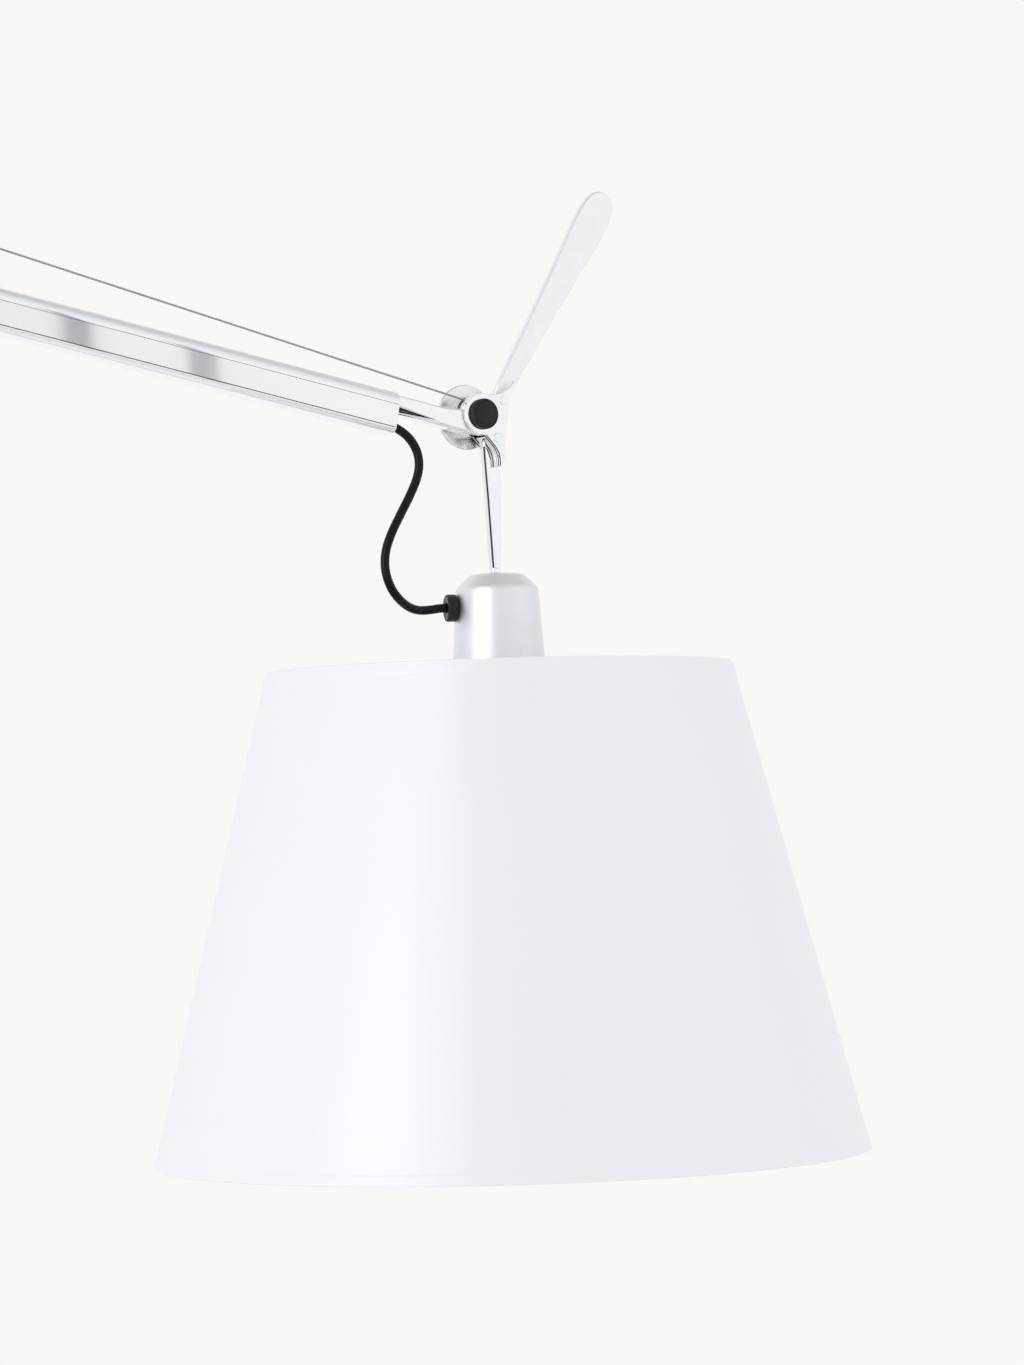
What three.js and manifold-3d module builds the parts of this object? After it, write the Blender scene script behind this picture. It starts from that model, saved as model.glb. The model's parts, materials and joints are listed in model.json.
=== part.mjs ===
// Adjustable arm floor lamp: a weighted disc base and a stem, two spring-balanced arms with
// outside steel cables, and a tilting head with a tapered fabric shade.
// Units are millimetres. +Z is up, +X points towards the shade, and the origin is on the floor
// under the middle of the base. Arms are described along their own tube: local x runs from the
// root pivot to the far pivot, local z points to the side where the cable runs.
import * as THREE from 'three';
import { mergeVertices } from 'three/addons/utils/BufferGeometryUtils.js';
import Module from 'manifold-3d';

const wasm = await Module();
wasm.setup();

// ---------------------------------------------------------------- driving dimensions
const GAP = 0.3; // clearance between touching pieces
const RUN = 0.4; // clearance around a pin or a rod that turns or slides

const FOOT_T = 2.5;
const BASE_R = 165;
const BASE_H = 24;
const COVER_T = 2;
const COVER_LIP = 9; // from the weight's rim to the cover's
const STEM_R = 14;
const STEM_T = 2;
const SOCKET_R = 26;
const SOCKET_H = 46;
const STEM_TOP = 1400;
const BOLT_R = 6;
const INLET_R = 5;
const CORD_R = 2.6;

const SPIGOT_R = 8;
const SPIGOT_L = 50;
const COLLAR_H = 22;
const SHOULDER_RISE = 80; // shoulder pivot above the stem's top

const LOWER_ANGLE = 115; // degrees from +X up, at rest
const UPPER_ANGLE = -9.2;
const ARM_REACH = 900; // along the tube, from the root pivot to the far pivot
const FAR_RISE = 11.5; // far pivot above the tube's middle line
const TUBE_H = 25;
const TUBE_W = 18;
const TUBE_T = 1.6;
const TUBE_TOP_CORNER = 8.4;
const TUBE_FOOT_CORNER = 3.2;
const ROOT_SETBACK = 60; // root pivot to the tube
const FAR_SETBACK = 56; // tube to the far pivot
const PLUG_L = 32; // how far an end casting goes into its tube

const PIN_R = 4;
const LUG_HALF = 5.6; // half the width of the blade between two cheeks
const CHEEK_T = 2.5;
const EYE_R = 12.2;
const CAP_R = 9;
const CAP_H = 3;
const KNOB_R = 19.2;
const KNOB_T = 4.2;
const WHEEL_R = 8.4;
const CABLE_R = 0.6;
const CABLE_OFFSET = 6.8; // cable's middle from the far pivot
const HORN_ANGLE = 172.5; // of the turret's cable horn, from +X up
const HORN_L = 64; // cable anchor from the root pivot
const HORN_TIP_R = 4.6;
const HORN_PIN_R = 1.6;
const SPRING_R = 4.4;
const SPRING_WIRE_R = 0.9;
const SPRING_L = 330;
const SPRING_TURNS = 8;

const RIVET_R = 1.6;
const RIVET_HEAD_R = 2.75;
const HANDLE_T = 5;
const HANDLE_ROOT_W = 11.4;
const HANDLE_TIP_W = 22;
const HANDLE_L = 138;
const HANDLE_ANGLE = 59.5;
const LEG_T = 5.6;
const LEG_PIN = [13.4, -87.7]; // at the leg's foot, from the wrist pivot
const LEG_PIN_R = 1.5;

const HEAD_TILT = 1.95; // degrees that the shade's foot swings outwards at rest
const CUP_X = 14.2; // middle of the cup's top, from the wrist pivot
const CUP_Z = -92.5;
const CUP_TOP_R = 15;
const CUP_SHOULDER_H = 8.5;
const CUP_ROOM = 4.2; // from the holder's side to the cup's shoulder
const CUP_FLARE = 3.6; // from the cup's shoulder out to its foot
const CUP_H = 62;
const CUP_T = 1.6;
const GLAND_ANGLE = 162.5; // about the cup, from +X
const GLAND_DROP = 19.4;
const GLAND_R = 8;
const GLAND_FLANGE = 5.4;
const GLAND_SHANK_R = 4.5;

const SOCKET_BODY_R = 20;
const SOCKET_BORE_R = 14;
const BULB_PLAY = 0.7; // between the bulb's cap and the holder's bore
const BULB_R = 30;
const BULB_L = 92;
const GLASS_T = 1;

const SHADE_DROP = 55.2; // shade's top rim below the cup's top
const SHADE_TOP_R = 136.7;
const SHADE_FOOT_R = 208.3;
const SHADE_H = 283.3;
const SHADE_T = 1.5;
const SHADE_WIRE_R = 1.6;
const FITTER_W = 6.5;
const FITTER_T = 3.6;

// How many sides a round piece has, by its size.
const WIDE = 30;
const MIDDLE = 20;
const SMALL = 12;
const FINE = 10;

// ---------------------------------------------------------------- worked-out sizes
const COVER_Z = FOOT_T + GAP; // everything on the base starts on the foot
const SOCKET_Z = BASE_H + GAP;
const CHEEK_IN = LUG_HALF + GAP;
const CHEEK_OUT = CHEEK_IN + CHEEK_T;
const THROUGH = 2 * CHEEK_OUT; // half the length of a cut that goes right across a joint
const PIN_BORE = PIN_R + RUN;
const KNOB_IN = CHEEK_OUT + GAP;
const TUBE_IN_H = TUBE_H - 2 * TUBE_T;
const TUBE_IN_W = TUBE_W - 2 * TUBE_T;
const WEIGHT_R = BASE_R - COVER_LIP;
const SHOULDER_Z = STEM_TOP + SHOULDER_RISE;
const CUP_SHOULDER_R = SOCKET_BODY_R + CUP_ROOM;
const CUP_FOOT_R = CUP_SHOULDER_R + CUP_FLARE;
const BULB_CAP_R = SOCKET_BORE_R - BULB_PLAY;
const FITTER_R = SOCKET_BODY_R + FITTER_W;
const SHADE_SLOPE = (SHADE_FOOT_R - SHADE_TOP_R) / SHADE_H;

// ---------------------------------------------------------------- materials
const finish = (color, roughness, metalness) =>
  new THREE.MeshStandardMaterial({ color, roughness, metalness });
const polished = finish(0xe4e5e8, 0.14, 1);
const anodised = finish(0xd9dbde, 0.28, 1);
const satin = finish(0xcfd1d4, 0.42, 1);
const steel = finish(0xb4b6ba, 0.3, 1);
const darkSteel = finish(0x55585c, 0.5, 1);
const brass = finish(0xb99a4b, 0.35, 1);
const blackPlastic = finish(0x0d0d0f, 0.38, 0);
const blackRubber = finish(0x111112, 0.3, 0);
const greyRubber = finish(0x2a2b2d, 0.8, 0);
const porcelain = finish(0xf1efe9, 0.3, 0);
const opalGlass = finish(0xf6f4ee, 0.25, 0);
const fabric = finish(0xf3f3f6, 0.9, 0);

// ---------------------------------------------------------------- solids
const V2 = (x, y) => new THREE.Vector2(x, y);
const V3 = (x, y, z) => new THREE.Vector3(x, y, z);
const radians = THREE.MathUtils.degToRad;

// A closed geometry as a solid, with its faces turned outwards.
function toSolid(geometry) {
  const bare = geometry.clone();
  bare.deleteAttribute('normal');
  bare.deleteAttribute('uv');
  const merged = mergeVertices(bare, 1e-4);
  const corners = merged.attributes.position.array;
  const at = (i) => V3(corners[3 * i], corners[3 * i + 1], corners[3 * i + 2]);
  const faces = [];
  let volume = 0;
  for (let i = 0; i < merged.index.count; i += 3) {
    const [a, b, c] = [0, 1, 2].map((n) => merged.index.getX(i + n));
    if (a === b || b === c || a === c) continue;
    faces.push([a, b, c]);
    volume += at(a).dot(at(b).cross(at(c)));
  }
  if (volume < 0) faces.forEach((face) => face.reverse());
  return new wasm.Manifold(new wasm.Mesh({
    numProp: 3,
    vertProperties: Float32Array.from(corners),
    triVerts: Uint32Array.from(faces.flat()),
  }));
}

function toGeometry(solid) {
  const { vertProperties, triVerts } = solid.getMesh();
  const geometry = new THREE.BufferGeometry();
  geometry.setAttribute('position', new THREE.BufferAttribute(vertProperties, 3));
  geometry.setIndex(new THREE.BufferAttribute(triVerts, 1));
  geometry.computeVertexNormals();
  return geometry;
}

const join = (first, ...others) => others.reduce((sum, solid) => sum.add(solid), first);
const cut = (first, ...others) => others.reduce((rest, solid) => rest.subtract(solid), first);

// A box from its two opposite corners.
function block(x0, x1, y0, y1, z0, z1) {
  const box = new THREE.BoxGeometry(x1 - x0, y1 - y0, z1 - z0);
  return toSolid(box.translate((x0 + x1) / 2, (y0 + y1) / 2, (z0 + z1) / 2));
}

// A profile of [radius, height] pairs turned about the Z axis. It starts and ends on the axis,
// or it closes on itself.
function turned(profile, segments = MIDDLE) {
  const onAxis = profile[0][0] === 0 && profile.at(-1)[0] === 0;
  const outline = onAxis ? profile : [...profile, profile[0]];
  const lathe = new THREE.LatheGeometry(outline.map(([r, z]) => V2(r, z)), segments);
  return toSolid(lathe.rotateX(Math.PI / 2));
}

// The same, turned about the Y axis.
function turnedAcross(profile, segments = MIDDLE) {
  const onAxis = profile[0][0] === 0 && profile.at(-1)[0] === 0;
  const outline = onAxis ? profile : [...profile, profile[0]];
  return toSolid(new THREE.LatheGeometry(outline.map(([r, y]) => V2(r, y)), segments));
}

// A ring of rectangular section about the Z axis.
const ring = (inner, outer, z0, z1, segments = MIDDLE) =>
  turned([[inner, z0], [outer, z0], [outer, z1], [inner, z1]], segments);

// A round bar between two points.
function rod(from, to, radius, sides = FINE) {
  const length = from.distanceTo(to);
  const bar = new THREE.CylinderGeometry(radius, radius, length, sides);
  const turn = new THREE.Quaternion().setFromUnitVectors(V3(0, 1, 0),
    to.clone().sub(from).normalize());
  const middle = from.clone().add(to).multiplyScalar(0.5);
  return toSolid(bar.applyQuaternion(turn).translate(middle.x, middle.y, middle.z));
}

// A round bar along Y through a point of the XZ plane.
const crossBar = (x, z, radius, y0, y1, sides = FINE) =>
  rod(V3(x, y0, z), V3(x, y1, z), radius, sides);

// An outline in the XZ plane, made thick along Y.
function slab(outline, y0, y1, curveSegments = 5) {
  const shape = Array.isArray(outline)
    ? new THREE.Shape(outline.map(([x, z]) => V2(x, z))) : outline;
  const sheet = new THREE.ExtrudeGeometry(shape,
    { depth: y1 - y0, bevelEnabled: false, curveSegments });
  const basis = new THREE.Matrix4().makeBasis(V3(1, 0, 0), V3(0, 0, 1), V3(0, -1, 0));
  return toSolid(sheet.applyMatrix4(basis).translate(0, y1, 0));
}

// A rounded rectangle in the YZ plane, made long along X.
function roundedBar(width, height, x0, x1, top, foot = top) {
  const [w, h] = [width / 2, height / 2];
  const shape = new THREE.Shape();
  shape.moveTo(w, -h + foot);
  shape.lineTo(w, h - top);
  shape.absarc(w - top, h - top, top, 0, Math.PI / 2);
  shape.lineTo(-w + top, h);
  shape.absarc(-w + top, h - top, top, Math.PI / 2, Math.PI);
  shape.lineTo(-w, -h + foot);
  shape.absarc(-w + foot, -h + foot, foot, Math.PI, Math.PI * 1.5);
  shape.lineTo(w - foot, -h);
  shape.absarc(w - foot, -h + foot, foot, Math.PI * 1.5, Math.PI * 2);
  const bar = new THREE.ExtrudeGeometry(shape,
    { depth: x1 - x0, bevelEnabled: false, curveSegments: 3 });
  const basis = new THREE.Matrix4().makeBasis(V3(0, 1, 0), V3(0, 0, 1), V3(1, 0, 0));
  return toSolid(bar.applyMatrix4(basis).translate(x0, 0, 0));
}

// A section swept along a curve, closed at both ends.
function swept(curve, radius, sides, steps) {
  const section = new THREE.Shape(Array.from({ length: sides }, (_, i) => {
    const angle = (2 * Math.PI * i) / sides;
    return V2(radius * Math.cos(angle), radius * Math.sin(angle));
  }));
  return toSolid(new THREE.ExtrudeGeometry(section, { steps, extrudePath: curve }));
}

// A capsule outline between two points of the XZ plane.
function capsule([x0, z0], [x1, z1], radius) {
  const angle = Math.atan2(z1 - z0, x1 - x0);
  const shape = new THREE.Shape();
  shape.absarc(x1, z1, radius, angle - Math.PI / 2, angle + Math.PI / 2);
  shape.absarc(x0, z0, radius, angle + Math.PI / 2, angle + Math.PI * 1.5);
  return shape;
}

function part(name, solid, material) {
  const mesh = new THREE.Mesh(toGeometry(solid), material);
  mesh.name = name;
  return mesh;
}

const group = (...children) => new THREE.Group().add(...children);

// ---------------------------------------------------------------- base and stem
function base() {
  const foot = turned([[0, 0], [WEIGHT_R + 2, 0], [WEIGHT_R + 2, FOOT_T], [0, FOOT_T]], WIDE);

  const innerTop = BASE_H - COVER_T;
  const weight = turned([
    [BOLT_R + RUN, COVER_Z + 8], [BOLT_R + 6, COVER_Z + 8], [BOLT_R + 6, COVER_Z],
    [WEIGHT_R, COVER_Z], [WEIGHT_R, innerTop - 6], [WEIGHT_R - 4, innerTop - GAP],
    [BOLT_R + RUN, innerTop - GAP]], WIDE);

  const innerR = BASE_R - COVER_T;
  const inletZ = COVER_Z + 8.5;
  const cover = cut(
    turned([
      [BOLT_R + RUN, innerTop], [innerR - 6, innerTop], [innerR - 2, innerTop - 2],
      [innerR, innerTop - 6], [innerR, 1], [BASE_R, 1], [BASE_R, BASE_H - 6.5],
      [BASE_R - 2, BASE_H - 2], [BASE_R - 6.5, BASE_H], [BOLT_R + RUN, BASE_H]], WIDE),
    rod(V3(-innerR + 6, 0, inletZ), V3(-BASE_R - 6, 0, inletZ), INLET_R + GAP));

  // The inlet is a flanged bush in the cover's side, where the mains cord would go in.
  const inletFace = BASE_R + GAP;
  const inlet = cut(
    join(
      rod(V3(-inletFace - 3, 0, inletZ), V3(-inletFace, 0, inletZ), INLET_R + 2.2, SMALL),
      rod(V3(-inletFace - 1, 0, inletZ), V3(-innerR + 4, 0, inletZ), INLET_R)),
    rod(V3(-inletFace - 5, 0, inletZ), V3(-innerR + 6, 0, inletZ), CORD_R + 0.6));

  const socketTop = SOCKET_Z + SOCKET_H;
  const socket = turned([
    [BOLT_R + RUN, SOCKET_Z], [SOCKET_R, SOCKET_Z], [SOCKET_R, SOCKET_Z + 4],
    [SOCKET_R - 5, SOCKET_Z + 9], [STEM_R + 4, socketTop - 3], [STEM_R + 3, socketTop],
    [STEM_R + GAP, socketTop], [STEM_R + GAP, SOCKET_Z + 8], [BOLT_R + RUN, SOCKET_Z + 8]]);

  const stemFoot = SOCKET_Z + 8 + GAP;
  const stem = ring(STEM_R - STEM_T, STEM_R, stemFoot, STEM_TOP);
  const plugTop = stemFoot + 42;
  const plug = ring(BOLT_R + RUN, STEM_R - STEM_T - GAP, stemFoot, plugTop, SMALL);
  const bolt = join(
    turned([[0, COVER_Z + 0.5], [BOLT_R + 4, COVER_Z + 0.5], [BOLT_R + 4, COVER_Z + 7.5],
      [0, COVER_Z + 7.5]], 6),
    turned([[0, COVER_Z + 7], [BOLT_R, COVER_Z + 7], [BOLT_R, plugTop - 4],
      [0, plugTop - 4]], FINE));

  const bushTop = STEM_TOP + GAP + 3;
  const bush = turned([
    [SPIGOT_R + RUN, STEM_TOP - SPIGOT_L - 4], [STEM_R - STEM_T - GAP, STEM_TOP - SPIGOT_L - 4],
    [STEM_R - STEM_T - GAP, STEM_TOP + GAP], [STEM_R + 0.5, STEM_TOP + GAP],
    [STEM_R + 0.5, bushTop], [SPIGOT_R + RUN, bushTop]]);

  return group(
    part('foot_pad', foot, greyRubber),
    part('base_weight', weight, darkSteel),
    part('base_cover', cover, satin),
    part('base_cord_inlet', inlet, blackPlastic),
    part('stem_socket', socket, satin),
    part('stem_tube', stem, anodised),
    part('stem_plug', plug, steel),
    part('stem_bolt', bolt, darkSteel),
    part('stem_bush', bush, brass));
}

// ---------------------------------------------------------------- joints
// A blade with a cable anchor: a tapering finger from the pivot to its tip.
function horn(angle) {
  const [x, z] = hornTip(angle);
  const side = [-Math.sin(angle), Math.cos(angle)];
  const flank = (share, half) => [x * share + side[0] * half, z * share + side[1] * half];
  const finger = slab([flank(0.1, -9), flank(0.55, -5.4), flank(1, -HORN_TIP_R),
    flank(1, HORN_TIP_R), flank(0.55, 5.4), flank(0.1, 9)], -LUG_HALF, LUG_HALF);
  const tip = crossBar(x, z, HORN_TIP_R, -LUG_HALF, LUG_HALF, SMALL);
  // The tip is forked, so the cable's eye sits between its two sides.
  const fork = slab(capsule([x * 0.88, z * 0.88], [x * 1.2, z * 1.2], HORN_TIP_R + 1),
    -CABLE_R - 1.2, CABLE_R + 1.2);
  return cut(join(finger, tip), fork,
    crossBar(x, z, HORN_PIN_R + GAP, -LUG_HALF - 1, LUG_HALF + 1));
}

const hornTip = (angle) => [HORN_L * Math.cos(angle), HORN_L * Math.sin(angle)];

function hornPin(name, angle) {
  const [x, z] = hornTip(angle);
  return part(name, crossBar(x, z, HORN_PIN_R, -LUG_HALF, LUG_HALF), steel);
}

const pivotPin = (name) =>
  part(name, crossBar(0, 0, PIN_R, -CHEEK_OUT, KNOB_IN + KNOB_T, SMALL), steel);

// The domed plastic cap over a pin's head, on the -Y side.
function pinCap(name) {
  const face = -CHEEK_OUT - GAP;
  return part(name, turnedAcross([
    [0, face], [CAP_R, face], [CAP_R, face - CAP_H * 0.45], [CAP_R * 0.9, face - CAP_H * 0.75],
    [CAP_R * 0.6, face - CAP_H * 0.95], [0, face - CAP_H]]), blackPlastic);
}

// The friction knob on a pin's other end, on the +Y side: a turned disc with a low hub on both
// faces, so its rim clears the rivets.
function frictionKnob(name) {
  const rim = KNOB_IN + KNOB_T;
  const web = KNOB_IN + 1.5;
  return part(name, turnedAcross([
    [PIN_BORE, KNOB_IN], [EYE_R, KNOB_IN], [EYE_R, web], [KNOB_R - 0.6, web], [KNOB_R, web + 0.6],
    [KNOB_R, rim - 1], [KNOB_R - 1.2, rim], [KNOB_R - 5, rim - 0.8],
    [8.5, rim - 0.8], [7.5, rim + 1.2], [PIN_BORE, rim + 1.2]]), satin);
}

// The turret: a spigot that swivels in the stem, and a blade up to the shoulder pivot.
function turret() {
  const hornAngle = radians(HORN_ANGLE);
  const collarFoot = STEM_TOP + GAP + 3 + GAP - SHOULDER_Z;
  const collarTop = collarFoot + COLLAR_H;
  const spigotFoot = STEM_TOP - SPIGOT_L - SHOULDER_Z;
  const trunk = turned([[0, spigotFoot], [SPIGOT_R, spigotFoot], [SPIGOT_R, collarFoot],
    [STEM_R + 2, collarFoot], [STEM_R + 2, collarTop - 6], [STEM_R - 3, collarTop],
    [0, collarTop]]);
  const blade = slab([[-STEM_R + 3, collarTop - 3], [STEM_R - 3, collarTop - 3],
    [EYE_R - 1, -8], [EYE_R - 1, 0], [-EYE_R + 1, 0], [-EYE_R - 3, -10]], -LUG_HALF, LUG_HALF);
  const eye = crossBar(0, 0, EYE_R, -LUG_HALF, LUG_HALF, MIDDLE);
  const casting = cut(join(trunk, blade, eye, horn(hornAngle)),
    crossBar(0, 0, PIN_BORE, -LUG_HALF - 1, LUG_HALF + 1, SMALL));
  const assembly = group(
    part('turret', casting, polished),
    hornPin('lower_cable_anchor', hornAngle));
  assembly.position.z = SHOULDER_Z;
  return { assembly, anchor: hornTip(hornAngle) };
}

// ---------------------------------------------------------------- arms
const fitInTube = (x0, x1, loose = GAP) =>
  roundedBar(TUBE_IN_W - 2 * loose, TUBE_IN_H - 2 * loose, x0, x1,
    TUBE_TOP_CORNER - TUBE_T - loose, TUBE_FOOT_CORNER - TUBE_T - loose);

// The casting at an arm's root: two cheeks that straddle the blade below, and a plug.
function tailCasting() {
  const webStart = ROOT_SETBACK - 20;
  const plug = fitInTube(ROOT_SETBACK - 6, ROOT_SETBACK + PLUG_L);
  const web = roundedBar(2 * CHEEK_OUT, TUBE_H - 6, webStart, ROOT_SETBACK - GAP, 4);
  const cheek = join(
    slab([[0, -EYE_R], [webStart + 8, -TUBE_H / 2 + 3.6], [webStart + 8, TUBE_H / 2 - 3.6],
      [0, EYE_R]], -CHEEK_OUT, CHEEK_OUT),
    crossBar(0, 0, EYE_R, -CHEEK_OUT, CHEEK_OUT, MIDDLE));
  const slot = block(-EYE_R - 1, webStart + 2, -CHEEK_IN, CHEEK_IN, -TUBE_H, TUBE_H);
  return cut(join(cheek, web, plug), slot,
    crossBar(0, 0, PIN_BORE, -CHEEK_OUT - 1, CHEEK_OUT + 1, SMALL));
}

// The casting at an arm's far end: a plug in the upper part of the tube, a grooved bar, and an
// eye that is slotted for the cable wheel. It may carry the next arm's cable horn.
function neckCasting(hornAngle) {
  const tubeEnd = ARM_REACH - FAR_SETBACK;
  const barTop = TUBE_IN_H / 2 - GAP;
  const barFoot = -0.8;
  const plug = cut(fitInTube(tubeEnd - PLUG_L, tubeEnd + 3),
    block(0, ARM_REACH, -TUBE_W, TUBE_W, -TUBE_H, barFoot));
  const bar = slab([
    [tubeEnd, barFoot], [ARM_REACH - 12, FAR_RISE - EYE_R + 0.3], [ARM_REACH, FAR_RISE - EYE_R],
    [ARM_REACH, FAR_RISE + 4], [ARM_REACH - 10, FAR_RISE + 3], [ARM_REACH - 18, FAR_RISE - 0.2],
    [tubeEnd, barTop]], -LUG_HALF, LUG_HALF);
  const eye = crossBar(ARM_REACH, FAR_RISE, EYE_R, -LUG_HALF, LUG_HALF, MIDDLE);
  const grooves = [-1, 1].map((side) => slab([
    [tubeEnd + 0.5, barFoot + 2.6], [tubeEnd + 26, barFoot + 2.5], [tubeEnd + 0.5, barFoot + 4.4]],
  side > 0 ? LUG_HALF - 0.9 : -LUG_HALF - 1, side > 0 ? LUG_HALF + 1 : -LUG_HALF + 0.9));
  const slotHalf = 2.1;
  const slot = block(ARM_REACH - 26, ARM_REACH + WHEEL_R + RUN, -slotHalf, slotHalf,
    FAR_RISE - WHEEL_R - RUN, FAR_RISE + EYE_R + 1);
  const bore = crossBar(ARM_REACH, FAR_RISE, PIN_BORE, -LUG_HALF - 1, LUG_HALF + 1, SMALL);
  const plain = cut(join(plug, bar, eye), ...grooves);
  if (hornAngle === undefined) return cut(plain, slot, bore);
  const finger = toSolid(toGeometry(horn(hornAngle)).translate(ARM_REACH, 0, FAR_RISE));
  // The horn covers the eye's front, so the wheel's slot stops at the eye's middle there.
  const shortSlot = block(ARM_REACH - 26, ARM_REACH + WHEEL_R + RUN, -slotHalf, slotHalf,
    FAR_RISE - WHEEL_R - RUN, FAR_RISE + WHEEL_R + RUN);
  const mouth = block(ARM_REACH - 26, ARM_REACH + 1, -slotHalf, slotHalf,
    FAR_RISE, FAR_RISE + EYE_R + 1);
  return cut(join(plain, finger), shortSlot, mouth, bore);
}

function armTube() {
  const [x0, x1] = [ROOT_SETBACK, ARM_REACH - FAR_SETBACK];
  return cut(roundedBar(TUBE_W, TUBE_H, x0, x1, TUBE_TOP_CORNER, TUBE_FOOT_CORNER),
    roundedBar(TUBE_IN_W, TUBE_IN_H, x0 - 1, x1 + 1, TUBE_TOP_CORNER - TUBE_T,
      TUBE_FOOT_CORNER - TUBE_T));
}

function cableWheel() {
  const groove = CABLE_OFFSET - CABLE_R - GAP;
  const wheel = turnedAcross([[PIN_BORE, -1.7], [WHEEL_R, -1.7], [WHEEL_R, -1.1],
    [groove, -0.7], [groove, 0.7], [WHEEL_R, 1.1], [WHEEL_R, 1.7], [PIN_BORE, 1.7]], SMALL);
  return toSolid(toGeometry(wheel).translate(ARM_REACH, 0, FAR_RISE));
}

// The balance spring lies in the upper half of the tube, clear of the flex below it.
function balanceSpring() {
  const start = ROOT_SETBACK + PLUG_L + 12;
  const middleZ = TUBE_IN_H / 2 - SPRING_R - SPRING_WIRE_R - GAP;
  class Helix extends THREE.Curve {
    getPoint(t, target = new THREE.Vector3()) {
      const angle = 2 * Math.PI * SPRING_TURNS * t;
      return target.set(start + SPRING_L * t, SPRING_R * Math.cos(angle),
        middleZ + SPRING_R * Math.sin(angle));
    }
  }
  return swept(new Helix(), SPRING_WIRE_R, 4, 8 * SPRING_TURNS);
}

// The cable's straight run, from its anchor to the point where it meets the wheel.
function balanceCable([anchorX, anchorZ]) {
  const anchor = V3(anchorX, 0, anchorZ);
  const hub = V3(ARM_REACH, 0, FAR_RISE);
  const line = hub.clone().sub(anchor);
  const distance = line.length();
  const meeting = Math.sqrt(distance ** 2 - CABLE_OFFSET ** 2);
  const angle = Math.atan2(line.z, line.x) + Math.asin(CABLE_OFFSET / distance);
  const way = V3(Math.cos(angle), 0, Math.sin(angle));
  const start = HORN_PIN_R + GAP + 0.4;
  return rod(anchor.clone().addScaledVector(way, start),
    anchor.clone().addScaledVector(way, meeting), CABLE_R, 8);
}

// One arm in its own frame, with its cable anchored at a point given in the outer frame.
function arm(name, degrees, anchor, hornAngle) {
  const turn = radians(degrees);
  const [x, z] = anchor;
  const ownAnchor = [x * Math.cos(turn) + z * Math.sin(turn),
    z * Math.cos(turn) - x * Math.sin(turn)];
  const ownHorn = hornAngle === undefined ? undefined : hornAngle - turn;
  const assembly = group(
    part(`${name}_tail`, tailCasting(), polished),
    part(`${name}_tube`, armTube(), anodised),
    part(`${name}_neck`, neckCasting(ownHorn), polished),
    part(`${name}_wheel`, cableWheel(), steel),
    part(`${name}_spring`, balanceSpring(), steel),
    part(`${name}_cable`, balanceCable(ownAnchor), steel));
  if (ownHorn !== undefined) {
    const pin = hornPin('upper_cable_anchor', ownHorn);
    pin.position.set(ARM_REACH, 0, FAR_RISE);
    assembly.add(pin);
  }
  assembly.rotation.y = -turn;
  const far = V3(ARM_REACH * Math.cos(turn) - FAR_RISE * Math.sin(turn), 0,
    ARM_REACH * Math.sin(turn) + FAR_RISE * Math.cos(turn));
  return { assembly, far };
}

const jointHardware = (name) => group(
  pivotPin(`${name}_pin`), pinCap(`${name}_cap`), frictionKnob(`${name}_knob`));

// ---------------------------------------------------------------- head
const RIVETS = { upper: [13.8, 8.9], lower: [9.8, -13.2] };

// One side plate of the bracket: a boss round the pivot, a slim horn up to the handle and a
// tail down to the leg.
function bracketOutline() {
  const shape = new THREE.Shape();
  shape.moveTo(2.5, EYE_R - 0.2);
  shape.quadraticCurveTo(14.6, 10.9, 21.2, 20.6);
  shape.quadraticCurveTo(22.3, 21.4, 22.8, 20);
  shape.quadraticCurveTo(17.6, 8, 16, -5);
  shape.lineTo(15.4, -20);
  shape.quadraticCurveTo(15.2, -27.4, 12, -30);
  shape.quadraticCurveTo(12.4, -22.6, 8.6, -18.4);
  shape.quadraticCurveTo(5.4, -15, 2.2, -EYE_R + 0.2);
  shape.absarc(0, 0, EYE_R, radians(-80), radians(78), true);
  return shape;
}

// The handle's outline, from its tongue between the plates to its round tip. A margin makes
// the slot that it sits in.
function handleOutline(margin = 0) {
  const angle = radians(HANDLE_ANGLE);
  const along = [Math.cos(angle), Math.sin(angle)];
  const across = [Math.sin(angle), -Math.cos(angle)];
  const root = [20.2, 19.6];
  const point = (distance, offset) => [root[0] + along[0] * distance + across[0] * offset,
    root[1] + along[1] * distance + across[1] * offset];
  const tipR = HANDLE_TIP_W * 0.42;
  const [tipX, tipZ] = point(HANDLE_L - tipR, 0);
  const shape = new THREE.Shape();
  shape.moveTo(...point(-2 - margin, HANDLE_ROOT_W / 2 - 2 + margin));
  shape.lineTo(...point(8, HANDLE_ROOT_W / 2 + margin));
  shape.quadraticCurveTo(...point(60, HANDLE_ROOT_W / 2 + 1.6), ...point(HANDLE_L - tipR - 14,
    HANDLE_TIP_W / 2));
  shape.quadraticCurveTo(...point(HANDLE_L - tipR - 2, HANDLE_TIP_W / 2),
    ...point(HANDLE_L - tipR * 0.6, tipR * 0.92));
  shape.absarc(tipX, tipZ, tipR, angle - radians(66), angle + radians(66));
  shape.quadraticCurveTo(...point(HANDLE_L - tipR - 2, -HANDLE_TIP_W / 2),
    ...point(HANDLE_L - tipR - 14, -HANDLE_TIP_W / 2));
  shape.quadraticCurveTo(...point(60, -HANDLE_ROOT_W / 2 - 1.6),
    ...point(8, -HANDLE_ROOT_W / 2 - margin));
  shape.lineTo(...point(-2 - margin, -HANDLE_ROOT_W / 2 + 2 - margin));
  return shape;
}

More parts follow.
